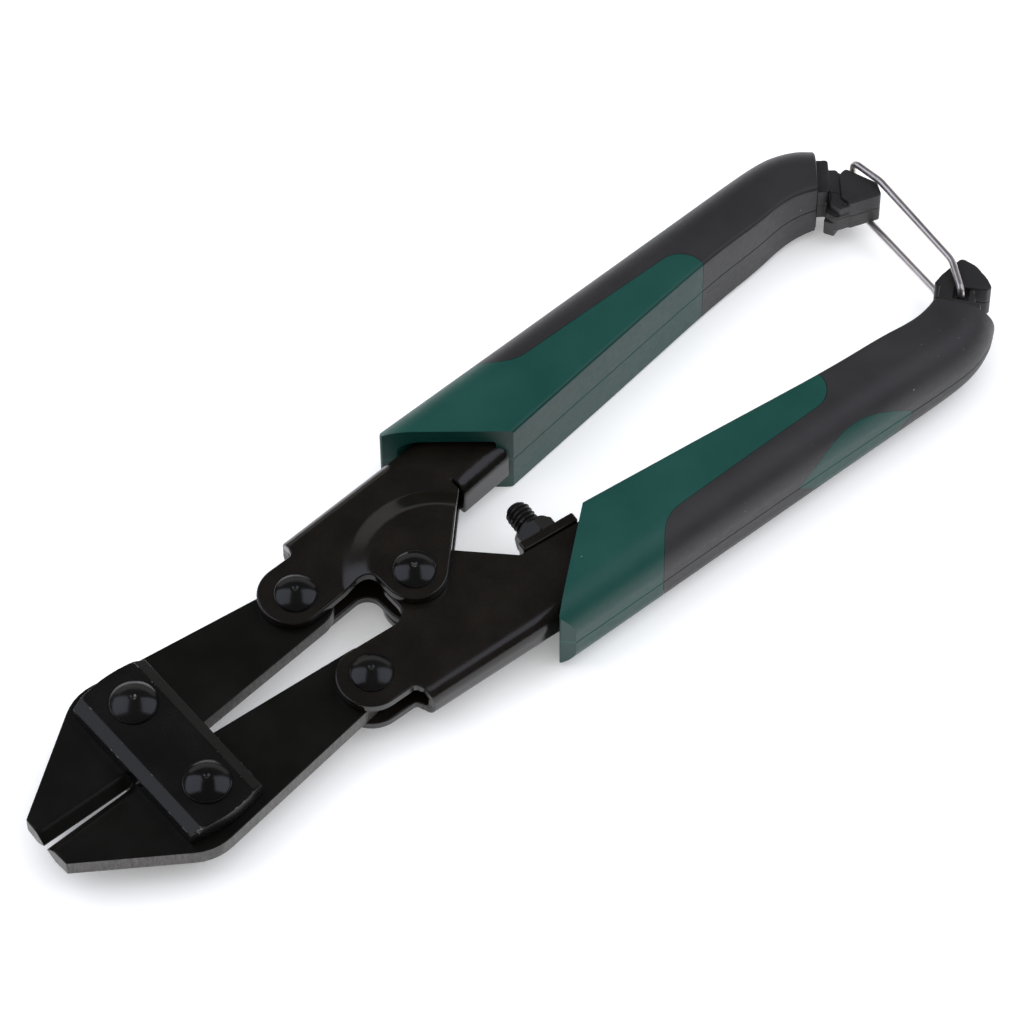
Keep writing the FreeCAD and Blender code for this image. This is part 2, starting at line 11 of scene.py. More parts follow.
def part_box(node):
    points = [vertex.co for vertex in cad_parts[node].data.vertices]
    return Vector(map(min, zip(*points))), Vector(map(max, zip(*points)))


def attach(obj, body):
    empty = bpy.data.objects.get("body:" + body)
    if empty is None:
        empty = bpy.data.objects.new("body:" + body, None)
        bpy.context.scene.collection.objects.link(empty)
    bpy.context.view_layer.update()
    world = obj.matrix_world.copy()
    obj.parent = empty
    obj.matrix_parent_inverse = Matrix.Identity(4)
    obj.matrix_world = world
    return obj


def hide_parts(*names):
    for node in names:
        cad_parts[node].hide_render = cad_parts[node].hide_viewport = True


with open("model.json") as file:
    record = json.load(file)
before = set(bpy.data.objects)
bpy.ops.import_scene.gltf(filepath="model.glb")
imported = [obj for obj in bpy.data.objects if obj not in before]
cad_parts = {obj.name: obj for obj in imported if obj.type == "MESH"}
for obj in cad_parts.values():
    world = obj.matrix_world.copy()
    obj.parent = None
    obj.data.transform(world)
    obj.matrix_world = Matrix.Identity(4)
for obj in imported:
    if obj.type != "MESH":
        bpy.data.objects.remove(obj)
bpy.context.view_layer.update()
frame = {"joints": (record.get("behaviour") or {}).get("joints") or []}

# Shapes are drawn in millimetres about the centre rivet: -x towards the blades, +y towards
# handle a, z = 0 at the parting plane. Handle b is handle a turned half a turn about x, but
# for where its flange stands.
MM = 0.001
JOINT_AT = {joint["name"]: Vector(joint["pos_m"]) for joint in frame["joints"]}

RIVET_LOW, RIVET_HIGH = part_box("centre_rivet")
JAW_LOW, JAW_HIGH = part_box("jaw_a")
CENTRE = Vector(((RIVET_LOW.x + RIVET_HIGH.x) / 2, 0, (JAW_LOW.z + JAW_HIGH.z) / 2))


def drawn(point):
    """A point of the frame, in drawing millimetres."""
    return np.array((point - CENTRE) / MM)


# ---- dimensions ----
JAW_PIVOT = drawn(JOINT_AT["jaw_a_swing"])[:2]
LINK_PIVOT = drawn(JOINT_AT["handle_a_swing"])[:2]
BAIL_PIVOT = drawn(JOINT_AT["bail_swing"])[:2]
HEAD_REACH = -drawn(JAW_LOW)[0]
JAW_HALF = drawn(JAW_HIGH)[2]
GRIP_HALF = drawn(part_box("grip_a_green")[1])[2]
PLATE_LOW, PLATE_TOP = (drawn(corner)[2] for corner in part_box("tie_plate_top"))

REST_OPEN = math.radians(0.9)      # each jaw stands this far open at rest
EDGE_GAP = 0.05                    # cutting edge to the middle line, when shut
EDGE_LAND = 0.15                   # half thickness left at the cutting edge
BEVEL_WIDTH = 1.9
BLADE_END_X = -64.6
JAW_RIVET = (3.0, 4.5, 2.2)        # shank radius, head radius, head height
LINK_RIVET = (2.5, 4.0, 1.9)

PLATE_X = (-64.8, -48.6)
PLATE_END_Y = 16.9
PLATE_MID_Y = 18.2
PLATE_BEVEL = (2.2, 0.9)           # width, depth

SHEET = 2.0
CHEEK_OUT = 4.0
RAISE = 2.1                        # the dished tab stands this much higher
TAB_R = 6.2
SLIDE_GAP = 0.1                    # handle b's outer tab to the centre rivet's lower head
SPACER_R = (2.4, 4.2)              # bore, outside
JOGGLE_CENTRE = (4.0, -1.5)
JOGGLE_R = (12.6, 17.0)
BEND_R = 3.1                       # outside of the folds
FOLD_FRONT = (-13.4, 21.9)
FOLD_SLOPE = 0.05
FLANGE_X = (18.7, 30.2)
FLANGE_Y = {"a": 8.7, "b": 6.8}    # its outer face at the front end
FLANGE_SLOPE = 0.1
FLANGE_DEPTH = 8.4
FRAME_REAR_X = 62.0                # the sheet ends here, out of sight in the grip

SCREW_X = 23.8
SCREW_R = 2.5
SCREW_REACH = 9.2                  # flange face to the screw's tip
THREAD_PITCH = 0.9
NUT_FLATS, NUT_HEIGHT = 7.4, 3.4

GRIP_END_IN = np.array((111.9, 16.3))
GRIP_END_OUT = np.array((119.1, 25.6))
OUTER_ROUND, INNER_ROUND = 6.5, 0.7
HAIRLINE = 0.07                    # gap between the parts of a grip
PATCH_X = (67.7, 95.0)
PATCH_HALF = 6.6
PATCH_BACK_Y = 27.4
MOUTH_HALF = 5.9

SEAM_WIDE, SEAM_DEEP = 0.16, 0.16
PLUG_HALF = 4.1
COLLAR_HALF = 4.2
COLLAR_DEEP = 2.4
NECK_HALF = 3.2
CHEEK_HALF = 3.4
WIRE_R = 0.7
WIRE_Z = 5.3
WIRE_BENDS = (1.4, 5.0)            # tight, easy

ARC_STEP = math.radians(9)


# ---- outlines ----
def unit(vector):
    return vector / np.linalg.norm(vector)


def rounded_corner(before, here, after, radius):
    """Centre of the arc that rounds a corner, and where it begins and ends, seen from there."""
    back, ahead = unit(before - here), unit(after - here)
    half = math.acos(np.clip(back @ ahead, -1, 1)) / 2
    centre = here + unit(back + ahead) * radius / math.sin(half)
    first = here + back * radius / math.tan(half) - centre
    last = here + ahead * radius / math.tan(half) - centre
    return centre, first, last


def outline(corners, run=1e6):
    """Closed counter-clockwise ring of points through (x, y, radius) corners.
    Straight runs longer than run are divided."""
    points = []
    spots = [np.array((x, y), float) for x, y, radius in corners]
    for i, (x, y, radius) in enumerate(corners):
        if radius <= 0:
            points.append(spots[i])
            continue
        after = spots[(i + 1) % len(spots)]
        centre, first, last = rounded_corner(spots[i - 1], spots[i], after, radius)
        begin = math.atan2(first[1], first[0])
        sweep = math.atan2(last[1], last[0]) - begin
        sweep = (sweep + math.pi) % (2 * math.pi) - math.pi
        steps = max(2, math.ceil(abs(sweep) / ARC_STEP))
        for angle in begin + sweep * np.arange(steps + 1) / steps:
            points.append(centre + radius * np.array((math.cos(angle), math.sin(angle))))
    ring = []
    for here, after in zip(points, points[1:] + points[:1]):
        parts = max(1, math.ceil(np.linalg.norm(after - here) / run))
        ring += [here + (after - here) * k / parts for k in range(parts)]
    ring = np.array(ring)
    area = np.sum(ring[:, 0] * np.roll(ring[:, 1], -1) - ring[:, 1] * np.roll(ring[:, 0], -1))
    return ring if area > 0 else ring[::-1]


def offset(ring, inset):
    """The ring moved inwards by inset, with mitred corners."""
    back = ring - np.roll(ring, 1, 0)
    ahead = np.roll(ring, -1, 0) - ring
    back /= np.linalg.norm(back, axis=1)[:, None]
    ahead /= np.linalg.norm(ahead, axis=1)[:, None]
    left = np.stack((-back[:, 1], back[:, 0]), 1)
    right = np.stack((-ahead[:, 1], ahead[:, 0]), 1)
    lean = 1 + np.sum(left * right, 1)
    return ring + (left + right) / np.maximum(lean, 0.3)[:, None] * inset


def inside(points, ring, margin):
    """Which points lie inside the ring and at least margin from it."""
    here = points[:, None, :]
    start, end = ring[None], np.roll(ring, -1, 0)[None]
    run = end - start
    with np.errstate(divide="ignore", invalid="ignore"):
        cross_x = start[..., 0] + (here[..., 1] - start[..., 1]) * run[..., 0] / run[..., 1]
    spans = (start[..., 1] > here[..., 1]) != (end[..., 1] > here[..., 1])
    odd = np.sum(spans & (here[..., 0] < cross_x), 1) % 2 == 1
    along = np.clip(np.sum((here - start) * run, -1) / np.sum(run * run, -1), 0, 1)
    away = np.linalg.norm(here - start - along[..., None] * run, axis=-1).min(1)
    return odd & (away > margin)


def lattice(x_values, y_values):
    """Every pair of the given values, as points."""
    return np.array([(x, y) for x in x_values for y in y_values], float)


# ---- solids ----
def sheet(ring, thick, edge, place, inner=None, steps=4):
    """Solid of even thickness with rounded rims. place turns (x, y, depth) rows into x, y, z.
    Gives points, faces, and for each point how exposed it is to wear."""
    turns = np.radians(90 * np.arange(steps + 1) / steps)
    profile = [(edge * (1 - math.sin(a)), edge * (1 - math.cos(a))) for a in turns]
    profile += [(inset, thick - deep) for inset, deep in reversed(profile)]
    flat = offset(ring, edge)
    inner = np.zeros((0, 2)) if inner is None else inner[inside(inner, flat, 0.22)]
    count, extra, levels = len(flat), len(inner), len(profile)
    flat_points = np.vstack((flat, inner))
    found = delaunay_2d_cdt([Vector(p) for p in flat_points], [], [list(range(count))], 1, 1e-7)
    source = [ids[0] for ids in found[3]]
    triangles = []
    for face in found[2]:
        a, b, c = (source[v] for v in face)
        turn = np.cross(flat_points[b] - flat_points[a], flat_points[c] - flat_points[a])
        triangles.append((a, b, c) if turn > 0 else (a, c, b))
    rows = []
    wear = []
    for level, (inset, deep) in enumerate(profile):
        rows.append(np.column_stack((offset(ring, inset), np.full(count, deep))))
        bend = min(level, levels - 1 - level) / steps
        wear += [1 - abs(2 * bend - 1) if bend < 1 else 0.15] * count
    for deep in (0, thick):
        rows.append(np.column_stack((inner, np.full(extra, deep))))
        wear += [0] * extra
    top_inner, low_inner = levels * count, levels * count + extra
    low_ring = (levels - 1) * count
    faces = [tuple(v if v < count else top_inner + v - count for v in t) for t in triangles]
    faces += [tuple(low_ring + v if v < count else low_inner + v - count for v in t[::-1])
              for t in triangles]
    for level in range(levels - 1):
        for i in range(count):
            j = (i + 1) % count
            here, below = level * count, (level + 1) * count
            faces.append((here + i, below + i, below + j, here + j))
    return place(np.vstack(rows)), faces, np.array(wear)


def grid_solid(rings):
    """Closed solid through rings of points, each ring with the same count, ends capped."""
    rings = np.array(rings)
    levels, count = rings.shape[:2]
    points = rings.reshape(-1, 3)
    faces = []
    for level in range(levels - 1):
        for i in range(count):
            j = (i + 1) % count
            here, after = level * count, (level + 1) * count
            faces.append((here + i, here + j, after + j, after + i))
    middles = [rings[0].mean(0), rings[-1].mean(0)]
    first, last = len(points), len(points) + 1
    top = (levels - 1) * count
    for i in range(count):
        j = (i + 1) % count
        faces.append((first, j, i))
        faces.append((last, top + i, top + j))
    return np.vstack((points, middles)), faces


def full_turn(count):
    return 2 * math.pi * np.arange(count) / count


def ring_at(angles, radius, z):
    """A level ring of points about z, with one radius or a radius for each angle."""
    return np.column_stack((radius * np.cos(angles), radius * np.sin(angles),
                            np.full(len(angles), z)))


def hexagon(angles, half_flats):
    return half_flats / np.cos((angles + math.pi / 6) % (math.pi / 3) - math.pi / 6)


def lathe(profile, turns=72):
    """Solid turned about z from (radius, z) points, lowest first; its ends are closed."""
    return grid_solid([ring_at(full_turn(turns), r, z) for r, z in profile])


def bent_path(points, radii):
    """Points along straight runs joined by arcs of the given radii."""
    points = [np.array(p, float) for p in points]
    path = [points[0]]
    for before, here, after, radius in zip(points, points[1:], points[2:], radii):
        centre, first, last = rounded_corner(before, here, after, radius)
        sweep = math.acos(np.clip(first @ last / radius ** 2, -1, 1))
        steps = max(4, math.ceil(sweep / ARC_STEP))
        for k in range(steps + 1):
            part = sweep * k / steps
            mix = math.sin(sweep - part) * first + math.sin(part) * last
            path.append(centre + mix / math.sin(sweep))
    path.append(points[-1])
    return np.array(path)


def tube(path, radius, sides=20):
    """Solid round wire along a path, with flat ends."""
    tangents = np.gradient(path, axis=0)
    tangents /= np.linalg.norm(tangents, axis=1)[:, None]
    side = unit(np.cross(tangents[0], (0.3, 0.9, 0.1)))
    angles = full_turn(sides)
    rings = []
    for here, along in zip(path, tangents):
        side = unit(side - (side @ along) * along)
        other = np.cross(along, side)
        spokes = np.outer(np.cos(angles), side) + np.outer(np.sin(angles), other)
        rings.append(here + radius * spokes)
    return grid_solid(rings)


def half_turned(points):
    """The same points turned half a turn about x."""
    return np.asarray(points) * (1, -1, -1)


def turned_about(points, pivot, angle):
    """Points turned about an upright axis through pivot."""
    shifted = points[:, :2] - pivot
    cos, sin = math.cos(angle), math.sin(angle)
    turned = np.column_stack((shifted[:, 0] * cos - shifted[:, 1] * sin,
                              shifted[:, 0] * sin + shifted[:, 1] * cos))
    return np.column_stack((turned + pivot, points[:, 2:]))


# ---- Blender objects ----
def add_object(name, data):
    obj = bpy.data.objects.new(name, data)
    bpy.context.scene.collection.objects.link(obj)
    return obj


def make(name, solid, slot, crease=42):
    """A mesh object from points in drawing millimetres, faces and perhaps wear."""
    points, faces = solid[:2]
    wear = solid[2] if len(solid) > 2 else np.zeros(len(points))
    mesh = bpy.data.meshes.new(name)
    mesh.from_pydata((np.asarray(points) * MM + np.array(CENTRE)).tolist(), [], faces)
    outwards = bmesh.new()
    outwards.from_mesh(mesh)
    bmesh.ops.recalc_face_normals(outwards, faces=outwards.faces)
    outwards.to_mesh(mesh)
    outwards.free()
    worn = mesh.attributes.new("wear", "FLOAT", "POINT")
    worn.data.foreach_set("value", np.array(wear, np.float32))
    obj = add_object(name, mesh)
    mesh.materials.append(MATERIALS[slot])
    smooth(obj, crease)
    return obj


def smooth(obj, crease):
    """Smooth shading that keeps flat faces flat and edges over crease degrees sharp."""
    obj.data.shade_smooth()
    obj.data.set_sharp_from_angle(angle=math.radians(crease))
    normals = obj.modifiers.new("normals", "WEIGHTED_NORMAL")
    normals.keep_sharp = True


def bake_modifiers(obj):
    """Replaces the object's mesh with what its modifiers make of it."""
    seen = bpy.context.evaluated_depsgraph_get()
    mesh = bpy.data.meshes.new_from_object(obj.evaluated_get(seen))
    obj.modifiers.clear()
    obj.data = mesh


def combine(obj, other, operation):
    """Cuts, joins or intersects obj with other, which is used up."""
    obj.modifiers.clear()
    other.modifiers.clear()
    cut = obj.modifiers.new("cut", "BOOLEAN")
    cut.object = other
    cut.operation = operation
    cut.solver = "EXACT"
    bake_modifiers(obj)
    bpy.data.objects.remove(other)


def place_piece(obj, body, slot, *nodes):
    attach(obj, body)
    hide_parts(*nodes)


def add_piece(node, look, solid, body, slot, crease=42):
    """The piece that is seen in place of one node of the frame."""
    place_piece(make(node + "_" + look, solid, slot, crease), body, slot, node)


# ---- materials ----
class Recipe:
    """A node material that is put together step by step, with patterns in millimetres."""

    def __init__(self, name, rough, metallic=0.0, specular=0.5):
        self.material = bpy.data.materials.new(name)
        self.material.use_nodes = True
        self.tree = self.material.node_tree
        self.tree.nodes.clear()
        self.shader = self.node("BsdfPrincipled", {
            "Roughness": rough, "Metallic": metallic, "Specular IOR Level": specular})
        self.node("OutputMaterial", {"Surface": self.shader.outputs["BSDF"]})
        self.place = self.node("TexCoord", {})
        self.where = self.scaled(self.place.outputs["Object"], (1 / MM,) * 3)

    def node(self, kind, inputs):
        """A new node, whose inputs are given by name or number."""
        node = self.tree.nodes.new("ShaderNode" + kind)
        for key, value in inputs.items():
            self.fill(node.inputs[key], value)
        return node

    def fill(self, target, value):
        """Gives an input its value: another node's output, a number, a colour or a vector."""
        if isinstance(value, bpy.types.NodeSocket):
            self.tree.links.new(value, target)
        else:
            target.default_value = (*value, 1) if target.type == "RGBA" else value

    def set(self, socket, value):
        self.fill(self.shader.inputs[socket], value)

    def scaled(self, where, scale):
        """Coordinates scaled along each axis; uneven scales give brushed or drawn marks."""
        return self.node("Mapping", {"Vector": where, "Scale": scale}).outputs["Vector"]

    def noise(self, per_mm, detail, rough=0.55, where=None):
        return self.node("TexNoise", {"Vector": where or self.where, "Scale": per_mm,
                                      "Detail": detail, "Roughness": rough}).outputs["Fac"]

    def spread(self, value, low, high, to_low=0.0, to_high=1.0):
        """Value mapped from one range to another, held at its ends."""
        return self.node("MapRange", {"Value": value, "From Min": low, "From Max": high,
                                      "To Min": to_low, "To Max": to_high}).outputs["Result"]

    def maths(self, operation, first, second=0):
        node = self.node("Math", {0: first, 1: second})
        node.operation = operation
        return node.outputs["Value"]

    def mix(self, share, first, second):
        """Colour between first and second; each is a colour or another mix."""
        node = self.node("Mix", {"Factor": share})
        node.data_type = "RGBA"
        # the node has sockets of one name for each kind of data
        sides = [s for s in node.inputs if s.type == "RGBA"]
        self.fill(sides[0], first)
        self.fill(sides[1], second)
        return [s for s in node.outputs if s.type == "RGBA"][0]

    def exposed(self):
        """How exposed each point is to wear."""
        node = self.node("Attribute", {})
        node.attribute_name = "wear"
        return node.outputs["Fac"]

    def height_of(self, vector):
        return self.node("SeparateXYZ", {"Vector": vector}).outputs["Z"]

    def upright(self):
        """1 on faces that stand upright in the piece's own frame, 0 on level ones."""
        lean = self.height_of(self.place.outputs["Normal"])
        return self.spread(self.maths("ABSOLUTE", lean), 0.5, 0.25)

    def near_height(self, height, half_width):
        """1 close to a height, fading to 0 half_width from it, both in millimetres."""
        away = self.maths("SUBTRACT", self.height_of(self.where), height)
        return self.spread(self.maths("ABSOLUTE", away), half_width, half_width * 0.5)

    def specks(self, cell_mm, size, share):
        """Small round dots, one in some of the cells."""
        node = self.node("TexVoronoi", {"Vector": self.where, "Scale": 1 / cell_mm})
        dot = self.spread(node.outputs["Distance"], size, size * 0.5)
        split = self.node("SeparateColor", {"Color": node.outputs["Color"]})
        chosen = self.maths("LESS_THAN", split.outputs["Red"], share)
        return self.maths("MULTIPLY", dot, chosen)

    def bump(self, height, deep_mm):
        node = self.node("Bump", {"Height": height, "Distance": deep_mm * MM})
        self.set("Normal", node.outputs["Normal"])


WORN_TONE = (0.30, 0.28, 0.26)
DUST_TONE = (0.16, 0.15, 0.13)
BARE_TONES = (0.024, 0.022, 0.020), (0.120, 0.112, 0.103)
WORN_ROUGH = 0.42


def painted_steel(name, dark, light, rough, rough_spread, wear_share, pits=0.0, ground=False,
                  specular=0.5):
    """Black finish with uneven gloss, faint orange peel and worn edges; ground steel shows bare
    and rough on its upright sides."""
    r = Recipe(name, rough, specular=specular)
    broad = r.noise(0.12, 5)
    fine = r.noise(2.2, 3)
    scratch = r.noise(1.1, 2, where=r.scaled(r.where, (0.15, 3.0, 1.0)))
    tone = r.mix(r.spread(broad, 0.35, 0.7), dark, light)
    worn = r.maths("MULTIPLY", r.spread(r.exposed(), 0.35, 0.9),
                   r.spread(r.noise(0.55, 6, 0.7), 1 - wear_share, 1 - wear_share + 0.08))
    dust = r.specks(2.6, 0.035, 0.10)
    tone = r.mix(worn, tone, WORN_TONE)
    if ground:
        strokes = r.noise(1.6, 4, 0.7, r.scaled(r.where, (1.0, 1.0, 0.25)))
        bare = r.mix(r.spread(r.maths("ADD", strokes, r.noise(5.0, 2)), 0.75, 1.25), *BARE_TONES)
        patchy = r.spread(r.noise(0.16, 3), 0.30, 0.42, 0.55, 1.0)
        tone = r.mix(r.maths("MULTIPLY", r.upright(), patchy), tone, bare)
    r.set("Base Color", r.mix(dust, tone, DUST_TONE))
    r.set("Metallic", r.maths("MULTIPLY", worn, 0.9))
    gloss = r.spread(r.maths("ADD", broad, r.maths("MULTIPLY", scratch, 0.15)), 0.45, 0.95,
                     rough - rough_spread, rough + rough_spread)
    change = r.maths("MULTIPLY", r.maths("SUBTRACT", WORN_ROUGH, gloss), worn)
    r.set("Roughness", r.maths("ADD", gloss, change))
    height = r.maths("ADD", r.maths("MULTIPLY", fine, 0.6), r.noise(0.5, 3))
    if pits:
        height = r.maths("ADD", height, r.maths("MULTIPLY", r.noise(6.0, 4, 0.7), pits))
    r.bump(r.maths("SUBTRACT", height, r.maths("MULTIPLY", worn, 0.5)), 0.010 + 0.02 * pits)
    return r.material


def moulded(name, dark, light, rough, grain, specular, speck_tone, speck_share, painted_seam_light=None):
    """Moulded plastic or rubber: fine grain, soft blotches in tone and gloss, a little dust,
    and where a seam colour is given, painted light along the mould seam against its groove's shade."""
    r = Recipe(name, rough, specular=specular)
    broad = r.noise(0.06, 4)
    cloud = r.noise(0.9, 5, 0.6)
    tone = r.mix(r.spread(broad, 0.35, 0.68), dark, light)
    if painted_seam_light:
        # painted light: a lighter band at the parting plane that offsets the shade in the seam
        # groove
        tone = r.mix(r.near_height(CENTRE.z / MM, SEAM_WIDE * 0.8), tone, painted_seam_light)
    dust = r.specks(3.4, 0.042, speck_share)
    small_dust = r.specks(1.3, 0.045, speck_share * 0.4)
    r.set("Base Color", r.mix(r.maths("MAXIMUM", dust, small_dust), tone, speck_tone))
    uneven = r.maths("ADD", broad, cloud)
    r.set("Roughness", r.spread(uneven, 0.7, 1.3, rough - 0.05, rough + 0.07))
    height = r.maths("ADD", r.maths("MULTIPLY", r.noise(7.0, 3, 0.6), 0.7),
                     r.maths("MULTIPLY", r.noise(1.6, 3), 0.6))
    r.bump(height, grain)
    return r.material


def drawn_wire(name):
    """Bright stainless wire with a faint satin of fine marks."""
    r = Recipe(name, 0.34, metallic=1.0)
    cloud = r.noise(0.35, 4)
    fine = r.noise(9.0, 3, 0.7)
    tone = r.mix(r.spread(cloud, 0.3, 0.7), (0.66, 0.60, 0.57), (0.80, 0.75, 0.72))
    r.set("Base Color", tone)
    r.set("Roughness", r.spread(r.maths("ADD", cloud, fine), 0.7, 1.3, 0.28, 0.42))
    r.bump(fine, 0.0012)
    return r.material


MATERIALS = {
    "jaw_steel": painted_steel(
        "jaw_black", (0.0028, 0.0026, 0.0020), (0.0042, 0.0039, 0.0031), 0.34, 0.06, 0.34,
        pits=0.3, ground=True, specular=0.27),
    "plate_steel": painted_steel(
        "plate_black", (0.0032, 0.0030, 0.0026), (0.0048, 0.0045, 0.0040), 0.28, 0.05, 0.42,
        specular=0.38),
    "frame_steel": painted_steel(
        "frame_black", (0.0062, 0.0049, 0.0038), (0.0098, 0.0078, 0.0060), 0.22, 0.05, 0.32),
    "rivet_steel": painted_steel(
        "rivet_black", (0.0032, 0.0031, 0.0030), (0.0055, 0.0052, 0.0050), 0.21, 0.05, 0.42,
        specular=0.45),
    "screw_steel": painted_steel(
        "screw_black", (0.005, 0.0047, 0.0044), (0.009, 0.0084, 0.0078), 0.36, 0.06, 0.42,
        pits=0.2, specular=0.35),
    # the green grip's last colour is painted light along the mould seam, not a colour of the
    # plastic
    "green_grip": moulded(
        "green_plastic", (0.0035, 0.045, 0.036), (0.0060, 0.056, 0.045), 0.42, 0.010, 0.4,
        (0.08, 0.30, 0.25), 0.16, painted_seam_light=(0.008, 0.13, 0.10)),
    "black_grip": moulded(
        "black_rubber", (0.0155, 0.0142, 0.0150), (0.0225, 0.0208, 0.0215), 0.47, 0.016, 0.5,
        (0.36, 0.33, 0.30), 0.30),
    "plug_plastic": moulded(
        "plug_black", (0.012, 0.0115, 0.0115), (0.020, 0.019, 0.019), 0.42, 0.018, 0.5,
        (0.12, 0.11, 0.10), 0.20),
    "bail_steel": drawn_wire("bail_wire_steel"),
}


# ---- head ----
def jaw_solid():
    """Jaw a as drawn shut: bevelled to its cutting edge, softened along its rim."""
    throat_y = 3 * EDGE_GAP
    ring = outline([
        (-HEAD_REACH, EDGE_GAP, 0), (-HEAD_REACH + 0.2, 5.4, 0.4), (-62.3, 20.75, 10.0),
        (-13.0, 14.9, 5.0), (-13.0, 4.8, 5.5), (-50.9, 1.2, 0.6), (JAW_PIVOT[0], throat_y, 0),
        (BLADE_END_X, throat_y, 0), (BLADE_END_X - 0.4, EDGE_GAP, 0)], run=1.2)
    rows = lattice(np.arange(-HEAD_REACH + 0.6, BLADE_END_X + 2, 0.6),
                   (0.5, 0.9, 1.4, BEVEL_WIDTH, BEVEL_WIDTH + 0.25, BEVEL_WIDTH + 0.9))

    def place(p):
        near = np.clip((p[:, 1] - EDGE_GAP) / BEVEL_WIDTH, 0, 1)
        keep = np.clip((p[:, 0] - BLADE_END_X + 0.5) / 1.0, 0, 1)
        near = near + (1 - near) * keep
        half = EDGE_LAND + (JAW_HALF - EDGE_LAND) * near
        return np.column_stack((p[:, 0], p[:, 1], half * (1 - p[:, 2] / JAW_HALF)))

    return sheet(ring, 2 * JAW_HALF, 0.22, place, rows)


def plate_solid():
    """Top tie plate: long edges bevelled on the upper face, ends gently crowned."""
    front, rear = PLATE_X
    wide, deep = PLATE_BEVEL
    middle = (front + rear) / 2
    half = (rear - front) / 2
    crown = PLATE_MID_Y - PLATE_END_Y
    radius = (half ** 2 + crown ** 2) / (2 * crown)
    # the ends are arcs, with a point wherever a bevel line meets them
    bevel = 1 - wide / half
    steps = np.array([-1, -bevel, -0.6, -0.35, -0.1, 0.1, 0.35, 0.6, bevel, 1]) * half
    rise = PLATE_MID_Y - radius + np.sqrt(radius ** 2 - steps ** 2)
    top = [(middle + s, y) for s, y in zip(steps, rise)]
    low = [(x, -y) for x, y in top]
    sides = np.arange(-PLATE_END_Y + 1.3, PLATE_END_Y - 1, 1.3)
    ring = np.array(low + [(rear, y) for y in sides]
                    + top[::-1] + [(front, y) for y in sides[::-1]])
    near_crest = (wide - 0.16, wide, wide + 0.16)
    rows = lattice([front + x for x in near_crest] + [rear - x for x in near_crest],
                   np.arange(-PLATE_MID_Y, PLATE_MID_Y, 0.5))
    thick = PLATE_TOP - PLATE_LOW

    def place(p):
        from_edge = np.minimum(p[:, 0] - front, rear - p[:, 0])
        drop = deep * np.clip(1 - from_edge / wide, 0, 1)
        z = PLATE_TOP - p[:, 2] - drop * (1 - p[:, 2] / thick)
        return np.column_stack((p[:, 0], p[:, 1], z))

    points, faces, wear = sheet(ring, thick, 0.16, place, rows)
    # the crest of each bevel wears as well
    crest = np.minimum(abs(points[:, 0] - front - wide), abs(points[:, 0] - rear + wide)) < 0.08
    wear[crest & (points[:, 2] > PLATE_TOP - 0.2)] = 0.9
    return points, faces, wear


def rivet_solid(x, y, low, high, shank_r, head_r, head_h):
    """Rivet with a domed head on each end; each dome has a dimple and a softened rim."""
    rim = 0.45
    dimple_r, dimple_deep = 0.6, 0.28
    crown_r = (head_r ** 2 + (head_h - rim) ** 2) / (2 * (head_h - rim))
    centre_z = head_h - crown_r
    head = [(shank_r, 0), (head_r - 0.12, 0), (head_r, 0.12), (head_r, rim - 0.1)]
    reach = math.asin(head_r / crown_r)
    edge = math.asin(dimple_r / crown_r)
    for angle in np.linspace(reach * 0.985, edge * 1.25, 14):
        head.append((crown_r * math.sin(angle), centre_z + crown_r * math.cos(angle)))
    lip_z = centre_z + crown_r * math.cos(edge)
    head += [(dimple_r, lip_z - 0.03), (dimple_r * 0.6, lip_z - dimple_deep * 0.55),
             (dimple_r * 0.25, lip_z - dimple_deep), (0.02, lip_z - dimple_deep)]
    profile = [(r, low - z) for r, z in reversed(head)] + [(r, high + z) for r, z in head]
    points, faces = lathe(profile)
    worn = {1: 0.25, 2: 0.5, 3: 0.35, len(head) - 4: 0.7, len(head) - 3: 0.8, len(head) - 2: 0.5}
    wear = np.zeros(len(points))
    per_ring = (len(points) - 2) // len(profile)
    for step, amount in worn.items():
        for level in (len(head) - 1 - step, len(head) + step):
            wear[level * per_ring:(level + 1) * per_ring] = amount
    return points + (x, y, 0), faces, wear


def make_head():
    points, faces, wear = jaw_solid()
    for side, flip in (("a", 1), ("b", -1)):
        placed = turned_about(points * (1, flip, 1), JAW_PIVOT * (1, flip), -flip * REST_OPEN)
        solid = (placed, [face[::flip] for face in faces], wear)
        add_piece("jaw_" + side, "forged", solid, "jaw_" + side, "jaw_steel")
    points, faces, wear = plate_solid()
    for name, placed in (("top", points), ("bottom", half_turned(points))):
        solid = (placed, faces, wear)
        add_piece("tie_plate_" + name, "bevelled", solid, "head", "plate_steel", crease=24)
    for side, y in (("a", JAW_PIVOT[1]), ("b", -JAW_PIVOT[1])):
        solid = rivet_solid(JAW_PIVOT[0], y, -PLATE_TOP, PLATE_TOP, *JAW_RIVET)
        add_piece("jaw_rivet_" + side, "domed", solid, "head", "rivet_steel")


# ---- handle frames ----
FOLD_ALONG = unit(np.array((1, FOLD_SLOPE)))
FOLD_IN = np.array((FOLD_ALONG[1], -FOLD_ALONG[0]))
WALL_HALF = CHEEK_OUT - BEND_R                      # flat part of the outer wall, each way
BEND_END = WALL_HALF + BEND_R * math.pi / 2         # where a bend ends, along the blank
FLANGE_ALONG = unit(np.array((1, FLANGE_SLOPE)))
FLANGE_LENGTH = FLANGE_X[1] - FLANGE_X[0]


def on_blank(x, y):
    """Place of a cheek point on the flat blank: along the fold, and across from mid wall."""
    away = np.array((x, y)) - FOLD_FRONT
    return away @ FOLD_ALONG, away @ FOLD_IN - BEND_R + BEND_END


